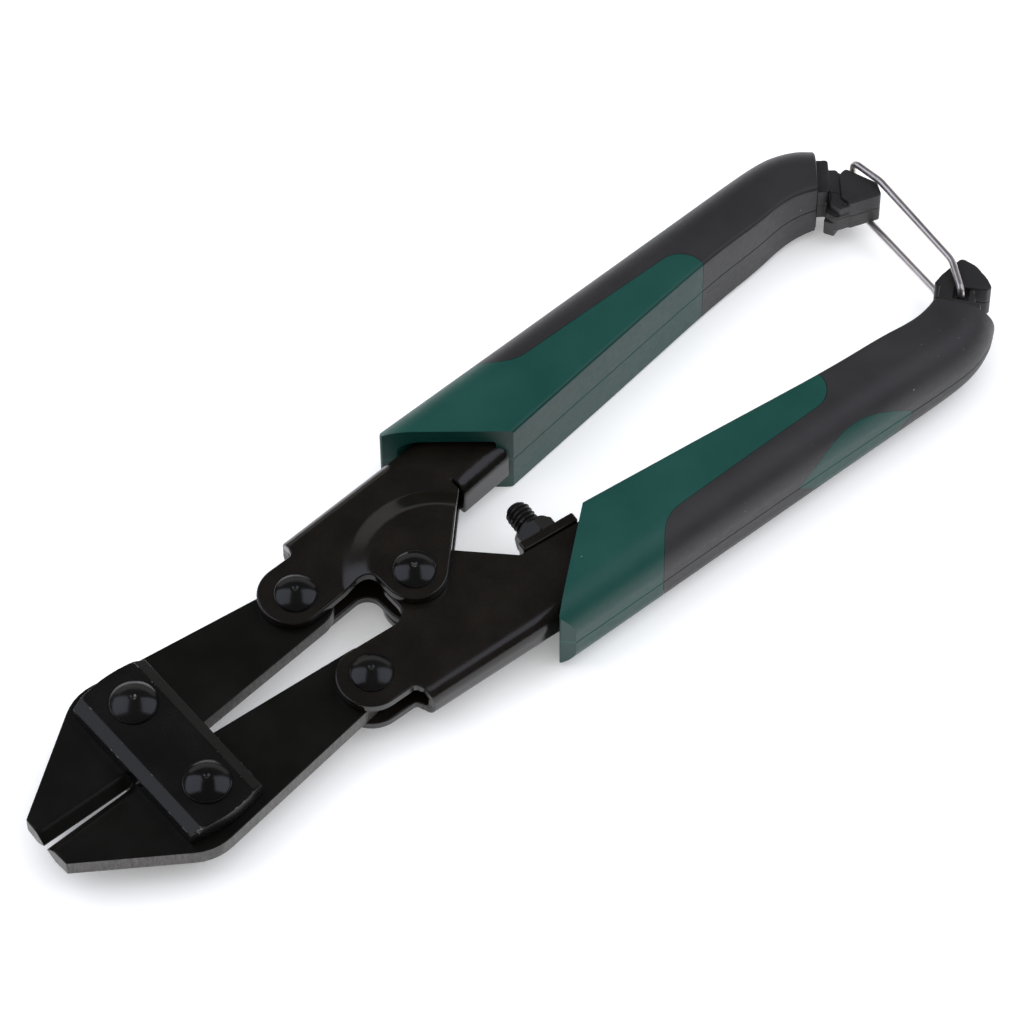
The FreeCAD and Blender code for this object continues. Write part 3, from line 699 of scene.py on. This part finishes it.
def fold_blank(p, flange_y):
    """Folds (along, across, depth) rows of the blank into handle a's frame."""
    along, across, deep = p.T
    side = np.sign(across)
    across = abs(across)
    turn = np.clip((across - WALL_HALF) / BEND_R, 0, math.pi / 2)
    beyond = np.maximum(across - BEND_END, 0)
    radius = BEND_R - deep
    inward = BEND_R - radius * np.cos(turn) + beyond
    z = np.minimum(across, WALL_HALF) + radius * np.sin(turn)
    x = FOLD_FRONT[0] + along * FOLD_ALONG[0] + inward * FOLD_IN[0]
    y = FOLD_FRONT[1] + along * FOLD_ALONG[1] + inward * FOLD_IN[1]
    raised = np.hypot(x - JOGGLE_CENTRE[0], y - JOGGLE_CENTRE[1])
    share = (JOGGLE_R[1] - raised) / (JOGGLE_R[1] - JOGGLE_R[0])
    z = z + np.where(side > 0, RAISE * soft_ramp(share), 0)
    # the flange is the part of the upper cheek past its own fold line
    along, past = flange_place(x, y, flange_y)
    past = BEND_R - past
    on_flange = (side > 0) & (along > -0.2) & (along < FLANGE_LENGTH + 0.6) & (past > 0)
    bend = np.clip(past / BEND_R, 0, math.pi / 2)
    down = np.maximum(past - BEND_R * math.pi / 2, 0)
    folded_x, folded_y = from_flange(along, BEND_R - radius * np.sin(bend), flange_y)
    x = np.where(on_flange, folded_x, x)
    y = np.where(on_flange, folded_y, y)
    z = np.where(on_flange, CHEEK_OUT - BEND_R + radius * np.cos(bend) - down, z)
    return np.column_stack((x, y, side * z))


def soft_ramp(share, ease=0.16):
    """Rises from 0 to 1 at one slope, rounded off over ease at both ends."""
    low = np.clip(share + ease, 0, 2 * ease)
    high = np.clip(share - 1 + ease, 0, 2 * ease)
    straight = np.clip(share - ease, 0, 1 - 2 * ease)
    return low ** 2 / (4 * ease) + straight + high - high ** 2 / (4 * ease)


def flange_place(x, y, flange_y):
    """Distance along the flange from its front end, and inwards from its outer face."""
    x, y = x - FLANGE_X[0], y - flange_y
    return x * FLANGE_ALONG[0] + y * FLANGE_ALONG[1], y * FLANGE_ALONG[0] - x * FLANGE_ALONG[1]


def from_flange(along, inward, flange_y):
    return (FLANGE_X[0] + along * FLANGE_ALONG[0] - inward * FLANGE_ALONG[1],
            flange_y + along * FLANGE_ALONG[1] + inward * FLANGE_ALONG[0])


def frame_solid(flange_y):
    """Handle a's frame, folded from one blank of sheet, with its flange at the given place."""
    depth = BEND_R - BEND_R * math.pi / 2 - (FLANGE_DEPTH - BEND_R)
    slit = 0.5
    # the tab's edge runs at 45 degrees, this far below the line y = x
    tab_drop = TAB_R * math.sqrt(2)
    tab_corner_y = -TAB_R * (1 + math.sqrt(2))
    diagonal_y = FLANGE_X[0] - slit - tab_drop
    slit_end_y = max(flange_y + BEND_R, diagonal_y + 1.0)
    rear_in_y = 16.2
    behind_y = flange_y + SHEET + 0.1
    low_front_x = (behind_y - FLANGE_SLOPE * FLANGE_X[0] + tab_drop) / (1 - FLANGE_SLOPE)
    low_rear_x = 32.0
    low_rear_y = behind_y + FLANGE_SLOPE * (low_rear_x - FLANGE_X[0])
    nose = [(-6.2, 5.9, 3.0), (-25.8, 4.3, 6.4), (-25.8, 17.7, 6.4), (-14.4, 17.9, 0.8)]
    upper = [(FRAME_REAR_X, rear_in_y, 0), (33.0, 13.0, 0),
             (*from_flange(FLANGE_LENGTH + 0.4, BEND_R, flange_y), 0),
             (*from_flange(FLANGE_LENGTH + 0.4, depth, flange_y), 0.4),
             (*from_flange(0, depth, flange_y), 0.4),
             (FLANGE_X[0], slit_end_y, 0), (FLANGE_X[0] - slit, slit_end_y, 0),
             (FLANGE_X[0] - slit, diagonal_y, 0.5), (-TAB_R, tab_corner_y, TAB_R)] + nose
    lower = [(FRAME_REAR_X, rear_in_y, 0), (low_rear_x, low_rear_y, 0),
             (low_front_x, low_front_x - tab_drop, 0.6), (-TAB_R, tab_corner_y, TAB_R)] + nose
    wall_front = [(-0.5, BEND_END - 0.8, 0.5), (-0.05, WALL_HALF * 0.8, 0.6)]
    corners = [(*on_blank(x, y), r) for x, y, r in upper] + wall_front
    corners += [(u, -t, r) for u, t, r in wall_front[::-1]]
    corners += [(*(on_blank(x, y) * np.array((1, -1))), r) for x, y, r in lower[::-1]]
    ring = outline(corners, run=0.9)
    length = on_blank(FRAME_REAR_X, 24)[0]
    bend_lines = (*np.linspace(WALL_HALF, BEND_END, 10), BEND_END + 0.5, WALL_HALF - 0.5, 0.4)
    inner = [lattice(np.arange(-0.4, length, 1.5), (*bend_lines, *np.negative(bend_lines)))]
    for radius in np.linspace(JOGGLE_R[0] - 0.6, JOGGLE_R[1] + 0.6, 11):
        for angle in np.arange(0, 2 * math.pi, 0.9 / radius):
            x = JOGGLE_CENTRE[0] + radius * math.cos(angle)
            y = JOGGLE_CENTRE[1] + radius * math.sin(angle)
            inner.append(np.array([on_blank(x, y)]))
    fold_rows = BEND_R - np.linspace(0, BEND_R * math.pi / 2, 9)
    for along in np.arange(0.5, FLANGE_LENGTH + 0.3, 0.9):
        inner += [np.array([on_blank(*from_flange(along, row, flange_y))])
                  for row in (*fold_rows, BEND_R + 0.5)]
    inner = np.vstack(inner)
    return sheet(ring, SHEET, 0.34, lambda p: fold_blank(p, flange_y), inner)


def screw_solid():
    """Set screw with a real thread, a domed end and a hexagon socket."""
    low, high = -SHEET, SCREW_REACH
    angles = full_turn(56)
    crown = 0.9 * 0.55                 # height of the domed end
    socket = [(1.05, 2.4), (1.25, 2.4), (1.3, 1.6), (1.3, 0.3), (1.55, 0.0)]
    rings = []
    for radius, deep in socket:
        shape = hexagon(angles, radius) * 0.93 if deep > 0 else radius
        rings.append(ring_at(angles, shape, low + deep))
    for y in np.arange(low, high - crown, THREAD_PITCH / 14):
        phase = (y / THREAD_PITCH - angles / (2 * math.pi)) % 1
        ridge = np.clip(1.25 - abs(phase - 0.5) * 4.2, 0, 1)
        ends = np.clip(min(y - low, high - crown - y) / 0.9, 0, 1)
        radius = SCREW_R - 0.02 - 0.5 * (1 - ridge * (0.35 + 0.65 * ends))
        rings.append(ring_at(angles, radius - 0.25 * (1 - ends), y))
    for share in (0.45, 0.75, 0.93, 1.0):
        radius = 1.78 * math.sqrt(max(1 - share ** 2, 0)) + 0.03
        rings.append(ring_at(angles, radius, high - crown + crown * share))
    points, faces = grid_solid(rings)
    radius = np.hypot(points[:, 0], points[:, 1])
    wear = np.clip((radius - 2.25) / 0.2, 0, 0.85)
    return on_flange_b(points), faces, wear


def on_flange_b(points):
    """Places points drawn about the screw, with z = 0 on the flange's face and z to the tip."""
    flange_y = FLANGE_Y["b"] + FLANGE_SLOPE * (SCREW_X - FLANGE_X[0])
    points = np.column_stack((points[:, 0], points[:, 2], -points[:, 1]))
    return turned_about(points, np.zeros(2), -math.atan(FLANGE_SLOPE)) + (SCREW_X, -flange_y, 0)


def nut_solid():
    """Hexagon nut: corners turned off on the outer face, countersunk bore."""
    angles = full_turn(120)
    flats = hexagon(angles, NUT_FLATS / 2)
    corner_r = NUT_FLATS / math.sqrt(3)
    bore = SCREW_R - 0.05
    stations = [(bore, 0.0), (corner_r - 0.5, 0.0), (corner_r - 0.16, 0.1), (corner_r, 0.25)]
    stations += [(corner_r, y) for y in (1.0, 1.8, 2.4)]
    stations += [(corner_r - 0.12, 2.6), (corner_r - 0.35, 2.85),
                 (corner_r - 0.62, NUT_HEIGHT - 0.1), (corner_r - 0.8, NUT_HEIGHT),
                 (SCREW_R + 0.35, NUT_HEIGHT), (bore, NUT_HEIGHT - 0.35)]
    rings, wear = [], []
    for limit, y in stations:
        radius = np.minimum(flats, limit)
        rings.append(ring_at(angles, radius, y))
        wear += list(np.clip((radius - NUT_FLATS / 2 - 0.2) / 0.35, 0, 0.9))
    points, faces = grid_solid(rings)
    return on_flange_b(points), faces, np.array(wear + [0, 0])


def make_frames():
    for side in "ab":
        body = "handle_" + side
        points, faces, wear = frame_solid(FLANGE_Y[side])
        placed = points if side == "a" else half_turned(points)
        folded = (placed, faces, wear)
        add_piece("handle_frame_" + side, "folded", folded, body, "frame_steel")
        y = LINK_PIVOT[1] if side == "a" else -LINK_PIVOT[1]
        rivet = rivet_solid(LINK_PIVOT[0], y, -CHEEK_OUT, CHEEK_OUT, *LINK_RIVET)
        add_piece("link_rivet_" + side, "domed", rivet, body, "rivet_steel")
    tab_out = CHEEK_OUT + RAISE
    rivet = rivet_solid(0, 0, -tab_out - SLIDE_GAP, tab_out, *LINK_RIVET)
    add_piece("centre_rivet", "domed", rivet, "handle_a", "rivet_steel")
    low, high = (drawn(corner)[2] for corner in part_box("centre_spacer"))
    bore, outside = SPACER_R
    edge = 0.15
    sleeve = lathe([(bore, low), (outside - edge, low), (outside, low + edge),
                    (outside, high - edge), (outside - edge, high), (bore, high)])
    add_piece("centre_spacer", "turned", sleeve, "handle_a", "rivet_steel", crease=30)
    add_piece("stop_screw", "threaded", screw_solid(), "handle_b", "screw_steel", crease=60)
    add_piece("stop_nut", "hexagon", nut_solid(), "handle_b", "screw_steel", crease=25)


# ---- grips ----
END_ALONG = unit(GRIP_END_OUT - GRIP_END_IN)
END_OFF = np.array((END_ALONG[1], -END_ALONG[0]))
# inner edge, outer edge and half thickness at sections from front to rear
GRIP_STATIONS = [
    ((5.0, 6.7), (5.0, 27.7), GRIP_HALF),
    ((30.0, 9.7), (30.0, 28.15), GRIP_HALF),
    ((56.0, 12.85), (56.0, 28.6), GRIP_HALF),
    ((82.5, 16.0), (84.0, 29.3), 8.9),
    ((97.0, 17.0), (101.0, 29.9), 8.3),
    ((103.0, 17.6), (107.9, 29.9), 7.95),
    ((106.5, 17.6), (112.1, 29.3), 7.6),
    ((109.4, 17.1), (116.0, 27.8), 7.25),
    (tuple(GRIP_END_IN), tuple(GRIP_END_OUT), 6.9),
]


def through(values, steps):
    """Smooth curve through rows of values, sampled at the given fractional places."""
    values = np.array(values, float)
    slopes = np.gradient(values, axis=0)
    low = np.clip(np.floor(steps).astype(int), 0, len(values) - 2)
    t = (steps - low)[:, None]
    h00, h10 = 2 * t ** 3 - 3 * t ** 2 + 1, t ** 3 - 2 * t ** 2 + t
    h01, h11 = -2 * t ** 3 + 3 * t ** 2, t ** 3 - t ** 2
    return h00 * values[low] + h10 * slopes[low] + h01 * values[low + 1] + h11 * slopes[low + 1]


def grip_section(width, half):
    """D-shaped section as (reach, height) points: flat inner side, rounded outer side,
    with the mould seam as a fine groove on both sides."""
    corner = min(OUTER_ROUND, half - 0.4)
    shape = []
    for angle in np.linspace(math.pi, math.pi / 2, 5):
        shape.append((INNER_ROUND * (1 + math.cos(angle)),
                      half - INNER_ROUND * (1 - math.sin(angle))))
    flat = width - corner
    shape += [(INNER_ROUND + (flat - INNER_ROUND) * k / 6, half) for k in range(1, 6)]
    for angle in np.linspace(math.pi / 2, 0, 12):
        shape.append((flat + corner * math.cos(angle), half - corner * (1 - math.sin(angle))))
    shape += [(width, SEAM_WIDE), (width - SEAM_DEEP, 0)]
    upper = np.array(shape)
    lower = (upper[:-1] * (1, -1))[::-1]
    seam = np.array([(0, -SEAM_WIDE), (SEAM_DEEP, 0), (0, SEAM_WIDE)])
    return np.vstack((upper, lower, seam))


def grip_body():
    """Whole grip of handle a before it is divided."""
    table = [(*inner, *outer, half) for inner, outer, half in GRIP_STATIONS]
    places = np.concatenate((np.linspace(0, 4, 33), np.linspace(4, len(table) - 1, 41)[1:]))
    rings = []
    for x0, y0, x1, y1, half in through(table, places):
        inner, outer = np.array((x0, y0)), np.array((x1, y1))
        width = np.linalg.norm(outer - inner)
        across = (outer - inner) / width
        section = grip_section(width, min(half, GRIP_HALF))
        plan = inner + section[:, :1] * across
        rings.append(np.column_stack((plan, section[:, 1])))
    # soften the end: the last rings draw in a little
    end = rings[-1]
    middle = end.mean(0)
    push = np.append(END_OFF, 0)
    for share, out in ((0.975, -0.18), (0.93, -0.02)):
        rings.append(middle + (end - middle) * share + push * out)
    rings[-3] = end - push * 0.55
    return grid_solid(rings)


def mouth_body():
    """The pocket that the frame enters by, with round corners beside the frame's bend."""
    outer_edge = ((0.0, 22.8), (12.0, 23.42), (20.0, 23.82), (25.0, 24.07), (27.0, 23.4),
                  (38.4, 14.0))
    length = outer_edge[-1][0]
    outer_round, inner_round = 3.2, 0.8
    rings = []
    for x, outer_y in outer_edge:
        inner_y = 8.6 + x * 4.4 / length
        ring = []
        for side, up, start in ((1, 1, 0), (-1, 1, 90), (-1, -1, 180), (1, -1, 270)):
            y, radius = (outer_y, outer_round) if side > 0 else (inner_y, inner_round)
            radius = min(radius, (outer_y - inner_y) * 0.4)
            middle_y = y - side * radius
            middle_z = up * (MOUTH_HALF - radius)
            for angle in np.radians(start + np.linspace(0, 90, 7)):
                ring.append((x, middle_y + radius * math.cos(angle),
                             middle_z + radius * math.sin(angle)))
        rings.append(np.array(ring))
    return grid_solid(rings)


def prism(name, ring, low, high, axis=2):
    """Plain cutting block: a flat ring swept from low to high along one axis."""
    count = len(ring)
    points = np.vstack([np.insert(ring, axis, level, axis=1) for level in (low, high)])
    faces = [tuple(range(count))[::-1], tuple(range(count, 2 * count))]
    faces += [(i, (i + 1) % count, count + (i + 1) % count, count + i) for i in range(count)]
    return make(name, (points, faces), "green_grip")


def leaf_cutter(grow):
    """Lens-shaped block that marks out the green leaf on the outer side."""
    middle = (PATCH_X[0] + PATCH_X[1]) / 2
    half = (PATCH_X[1] - PATCH_X[0]) / 2 + grow
    tall = PATCH_HALF + grow * 0.6
    radius = (half ** 2 + tall ** 2) / (2 * tall)
    across = np.linspace(-half, half, 40)
    rise = tall - radius + np.sqrt(radius ** 2 - across ** 2)
    ring = np.array([(middle + a, z) for a, z in zip(across, rise)]
                    + [(middle + a, -z) for a, z in zip(across[-2:0:-1], rise[-2:0:-1])])
    return prism("leaf_cutter", ring, PATCH_BACK_Y - 3 * grow, PATCH_BACK_Y + 6, axis=1)


def rubber_cutter(inset):
    """Block that marks out the black rubber, drawn in by inset."""
    plan = [(82.9 + inset, 5, 0), (82.9 + inset, 21.7 + inset, 5.0), (41.0, 21.7 + inset, 8.0),
            (31.5 + inset, 32.5, 0), (130, 32.5, 0), (130, 5, 0)]
    return prism("rubber_cutter", outline(plan), -GRIP_HALF - 1, GRIP_HALF + 1)


def make_grips():
    body = make("grip_blank", grip_body(), "green_grip")
    slant = [(36.6, 5.7, 0), (12.6, 25.6, 0.5), (15.2, 28.3, 0.5), (20.0, 35.0, 0),
             (-10.0, 35.0, 0), (-10.0, 5.7, 0)]
    front = prism("front_cutter", outline(slant), -GRIP_HALF - 2, GRIP_HALF + 2)
    combine(body, front, "DIFFERENCE")
    combine(body, make("mouth_cutter", mouth_body(), "green_grip"), "DIFFERENCE")
    rubber = add_object("grip_a_rubber", body.data.copy())
    combine(rubber, rubber_cutter(HAIRLINE), "INTERSECT")
    leaf = add_object("grip_a_leaf", rubber.data.copy())
    combine(leaf, leaf_cutter(0), "INTERSECT")
    combine(rubber, leaf_cutter(HAIRLINE), "DIFFERENCE")
    combine(body, rubber_cutter(0), "DIFFERENCE")
    body.name = "grip_a_shell"
    half_turn = (Matrix.Translation(CENTRE) @ Matrix.Rotation(math.pi, 4, "X")
                 @ Matrix.Translation(-CENTRE))
    kinds = ((body, "green", "green_grip"), (rubber, "black", "black_grip"),
             (leaf, "patch", "green_grip"))
    for obj, node, slot in kinds:
        obj.data.materials.clear()
        obj.data.materials.append(MATERIALS[slot])
        for polygon in obj.data.polygons:
            polygon.material_index = 0
        other = add_object(obj.name.replace("grip_a", "grip_b"), obj.data.copy())
        other.data.transform(half_turn)
        for piece, side in ((obj, "a"), (other, "b")):
            smooth(piece, 32)
            place_piece(piece, "handle_" + side, slot, "grip_%s_%s" % (side, node))


# ---- end plugs and bail ----
def off_end(corners):
    """Corners drawn as (along the end face, off it, radius), in plan."""
    return [(*(GRIP_END_IN + END_ALONG * a + END_OFF * b), r) for a, b, r in corners]


def moulding(name, slabs, voxel=0.16):
    """One soft-edged moulding made of overlapping slabs (corners, low, high)."""
    points, faces = [], []
    for corners, low, high in slabs:
        part = sheet(outline(corners), high - low, 0.12,
                     lambda rows: rows * (1, 1, -1) + (0, 0, high), steps=2)
        start = sum(len(p) for p in points)
        points.append(part[0])
        faces += [tuple(v + start for v in face) for face in part[1]]
    obj = make(name, (np.vstack(points), faces), "plug_plastic")
    obj.modifiers.clear()
    remesh = obj.modifiers.new("voxels", "REMESH")
    remesh.mode = "VOXEL"
    remesh.voxel_size = voxel * MM
    soften = obj.modifiers.new("soften", "SMOOTH")
    soften.factor = 0.5
    soften.iterations = 4
    bake_modifiers(obj)
    groove_seam(obj)
    obj.data.materials.clear()
    obj.data.materials.append(MATERIALS["plug_plastic"])
    smooth(obj, 180)
    return obj


def groove_seam(obj, wide=0.22, deep=0.13):
    """Presses the mould seam in at the parting plane."""
    mesh = obj.data
    count = len(mesh.vertices)
    places = np.zeros(count * 3, np.float32)
    normals = np.zeros(count * 3, np.float32)
    mesh.vertices.foreach_get("co", places)
    mesh.vertex_normals.foreach_get("vector", normals)
    places, normals = places.reshape(-1, 3), normals.reshape(-1, 3)
    share = np.clip(1 - abs(places[:, 2] - CENTRE.z) / (wide * MM), 0, 1)
    normals[:, 2] = 0
    places -= normals * (share * deep * MM)[:, None]
    mesh.vertices.foreach_set("co", places.ravel())
    mesh.update()


def make_plugs():
    collar = off_end([(1.2, -0.6, 0), (8.6, -0.6, 0), (8.6, COLLAR_DEEP, 0.6),
                      (1.2, COLLAR_DEEP, 0.6)])
    neck = off_end([(2.0, 1.0, 0), (6.4, 1.0, 0), (6.4, 4.0, 0.8), (5.4, 6.5, 0), (1.0, 7.0, 0)])
    bump = off_end([(5.2, 1.0, 0), (7.0, 1.0, 0), (7.0, 4.3, 0.8), (5.2, 4.3, 0.8)])
    block = [(117.9, 16.9, 0.3), (119.0, 17.9, 0.3), (120.4, 18.0, 0.6), (122.8, 11.7, 0.4),
             (121.6, 9.1, 0.5), (115.8, 11.2, 0.4), (115.4, 13.6, 0.4)]
    saddle = [(113.4, 14.6, 0.4), (113.9, 12.2, 0.5), (118.6, 10.6, 0), (119.2, 17.0, 0),
              (117.0, 17.9, 0.5)]
    heel = [(112.4, 14.7, 0.3), (113.2, 12.3, 0.5), (118.6, 10.4, 0), (119.2, 17.0, 0),
            (116.6, 17.9, 0.5)]
    lip = [(111.9, 14.5, 0.3), (114.6, 15.5, 0.3), (115.8, 13.4, 0.3), (113.0, 12.5, 0.5)]
    hook = moulding("hook_plug_a_moulded", [
        (collar, -COLLAR_HALF, COLLAR_HALF), (neck, -NECK_HALF, NECK_HALF),
        (bump, -NECK_HALF, NECK_HALF), (block, -PLUG_HALF, PLUG_HALF),
        (saddle, -PLUG_HALF + 0.2, 2.9), (heel, -PLUG_HALF + 0.1, 0.6),
        (lip, -PLUG_HALF - 1.6, -PLUG_HALF + 2.6)])
    place_piece(hook, "handle_a", "plug_plastic", "hook_plug_a")

    near = off_end([(0.4, 1.0, 0), (3.1, 1.0, 0), (3.1, 6.0, 0), (0.4, 6.0, 0)])
    far = off_end([(5.9, 1.0, 0), (7.3, 1.0, 0), (7.3, 4.0, 0), (5.9, 6.5, 0)])
    fin = off_end([(-1.0, 4.8, 0.4), (0.2, 7.4, 0.8), (3.2, 11.9, 1.0), (6.2, 10.7, 3.0),
                   (8.8, 8.2, 3.0), (10.0, 6.3, 0.6), (9.2, 5.6, 0.4)])
    flipped = [[(x, -y, r) for x, y, r in part] for part in (collar, near, far, fin)]
    halves = (COLLAR_HALF, PLUG_HALF, CHEEK_HALF, PLUG_HALF)
    slabs = [(part, -half, half) for part, half in zip(flipped, halves)]
    holder = moulding("bail_plug_b_moulded", slabs)
    place_piece(holder, "handle_b", "plug_plastic", "bail_plug_b")

    pivot = tuple(BAIL_PIVOT)
    route = [(*pivot, 0.1), (*pivot, WIRE_Z), (120.8, -11.4, WIRE_Z), (122.8, 10.9, WIRE_Z),
             (121.9, 17.5, WIRE_Z), (121.9, 17.5, -WIRE_Z), (120.4, 10.9, -WIRE_Z),
             (119.2, -8.9, -WIRE_Z), (*pivot, -WIRE_Z), (*pivot, -0.1)]
    tight, easy = WIRE_BENDS
    radii = (tight, easy, easy, tight, tight, easy, easy, tight)
    wire = tube(bent_path(route, radii), WIRE_R)
    add_piece("bail_wire", "bent", wire, "bail", "bail_steel", crease=60)


# ---- stage, lights and camera ----
FLOOR_HALF = 4.0                   # metres
FLOOR_TONE, FLOOR_GLOW = (0.93, 0.93, 0.93), 0.20


def make_stage():
    corners = [(x * FLOOR_HALF, y * FLOOR_HALF, 0) for x, y in ((-1, -1), (1, -1), (1, 1), (-1, 1))]
    mesh = bpy.data.meshes.new("floor")
    mesh.from_pydata(corners, [], [(0, 1, 2, 3)])
    floor = add_object("floor", mesh)
    pale = Recipe("pale_floor", 0.9, specular=0.0)
    pale.set("Base Color", FLOOR_TONE)
    pale.set("Emission Color", (1, 1, 1))
    pale.set("Emission Strength", FLOOR_GLOW)
    mesh.materials.append(pale.material)


def add_light(name, kind, energy, at, aim, size, glossy=True, colour=(1, 1, 1)):
    """A light at a place, aimed at another; size is two sides, or an angle for a sun."""
    data = bpy.data.lights.new(name, kind)
    data.energy = energy
    data.color = colour
    if kind == "AREA":
        data.shape = "RECTANGLE"
        data.size, data.size_y = size
    else:
        data.angle = size
    light = add_object(name, data)
    light.location = at
    light.rotation_mode = "QUATERNION"
    light.rotation_quaternion = (aim - at).to_track_quat("-Z", "Y")
    light.visible_glossy = glossy


VIEW_AZIMUTH = math.radians(50.787)     # which way the camera looks, from +x towards +y
VIEW_ELEVATION = math.radians(57.174)
VIEW_ROLL = -0.0124
VIEW_DISTANCE = 1.03167
VIEW_LENS = 197.9
VIEW_TARGET = CENTRE + Vector((23.90, 1.19, 0)) * MM
AHEAD = Vector((math.cos(VIEW_AZIMUTH), math.sin(VIEW_AZIMUTH), 0))
RIGHT = Vector((AHEAD.y, -AHEAD.x, 0))


def make_camera():
    cos_e, sin_e = math.cos(VIEW_ELEVATION), math.sin(VIEW_ELEVATION)
    back = Vector((-AHEAD.x * cos_e, -AHEAD.y * cos_e, sin_e))
    up = back.cross(RIGHT)
    cos_r, sin_r = math.cos(VIEW_ROLL), math.sin(VIEW_ROLL)
    turn = Matrix((RIGHT * cos_r + up * sin_r, up * cos_r - RIGHT * sin_r, back))
    data = bpy.data.cameras.new("camera")
    data.lens = VIEW_LENS
    data.sensor_width = 36.0
    data.clip_end = 50.0
    camera = add_object("camera", data)
    camera.matrix_world = (Matrix.Translation(VIEW_TARGET + back * VIEW_DISTANCE)
                           @ turn.transposed().to_4x4())
    bpy.context.scene.camera = camera


def make_lights():
    middle = VIEW_TARGET
    cool, warm = (0.80, 0.84, 1.0), (1.0, 0.95, 0.92)
    at = middle + Vector((0.1, -0.1, 2))
    add_light("overhead", "SUN", energy=2.7, at=at, aim=middle, size=math.radians(100),
              glossy=False)
    for name, side in (("left_box", -1), ("right_box", 1)):
        at = middle + RIGHT * side * 0.74 + AHEAD * 0.12 + Vector((0, 0, 0.76))
        add_light(name, "AREA", energy=3.5, at=at, aim=middle, size=(1.0, 1.0), colour=cool)
    at = middle + AHEAD * 1.25 + Vector((0, 0, 0.42))
    add_light("back_card", "AREA", energy=1.6, at=at, aim=middle, size=(2.4, 0.5), colour=warm)
    world = bpy.data.worlds.new("studio")
    bpy.context.scene.world = world
    world.use_nodes = True
    backdrop = world.node_tree.nodes["Background"]
    backdrop.inputs["Color"].default_value = (0.9, 0.95, 1.0, 1)
    backdrop.inputs["Strength"].default_value = 0.06
    bpy.context.scene.view_settings.view_transform = "Standard"


make_head()
make_frames()
make_grips()
make_plugs()
make_stage()
make_camera()
make_lights()
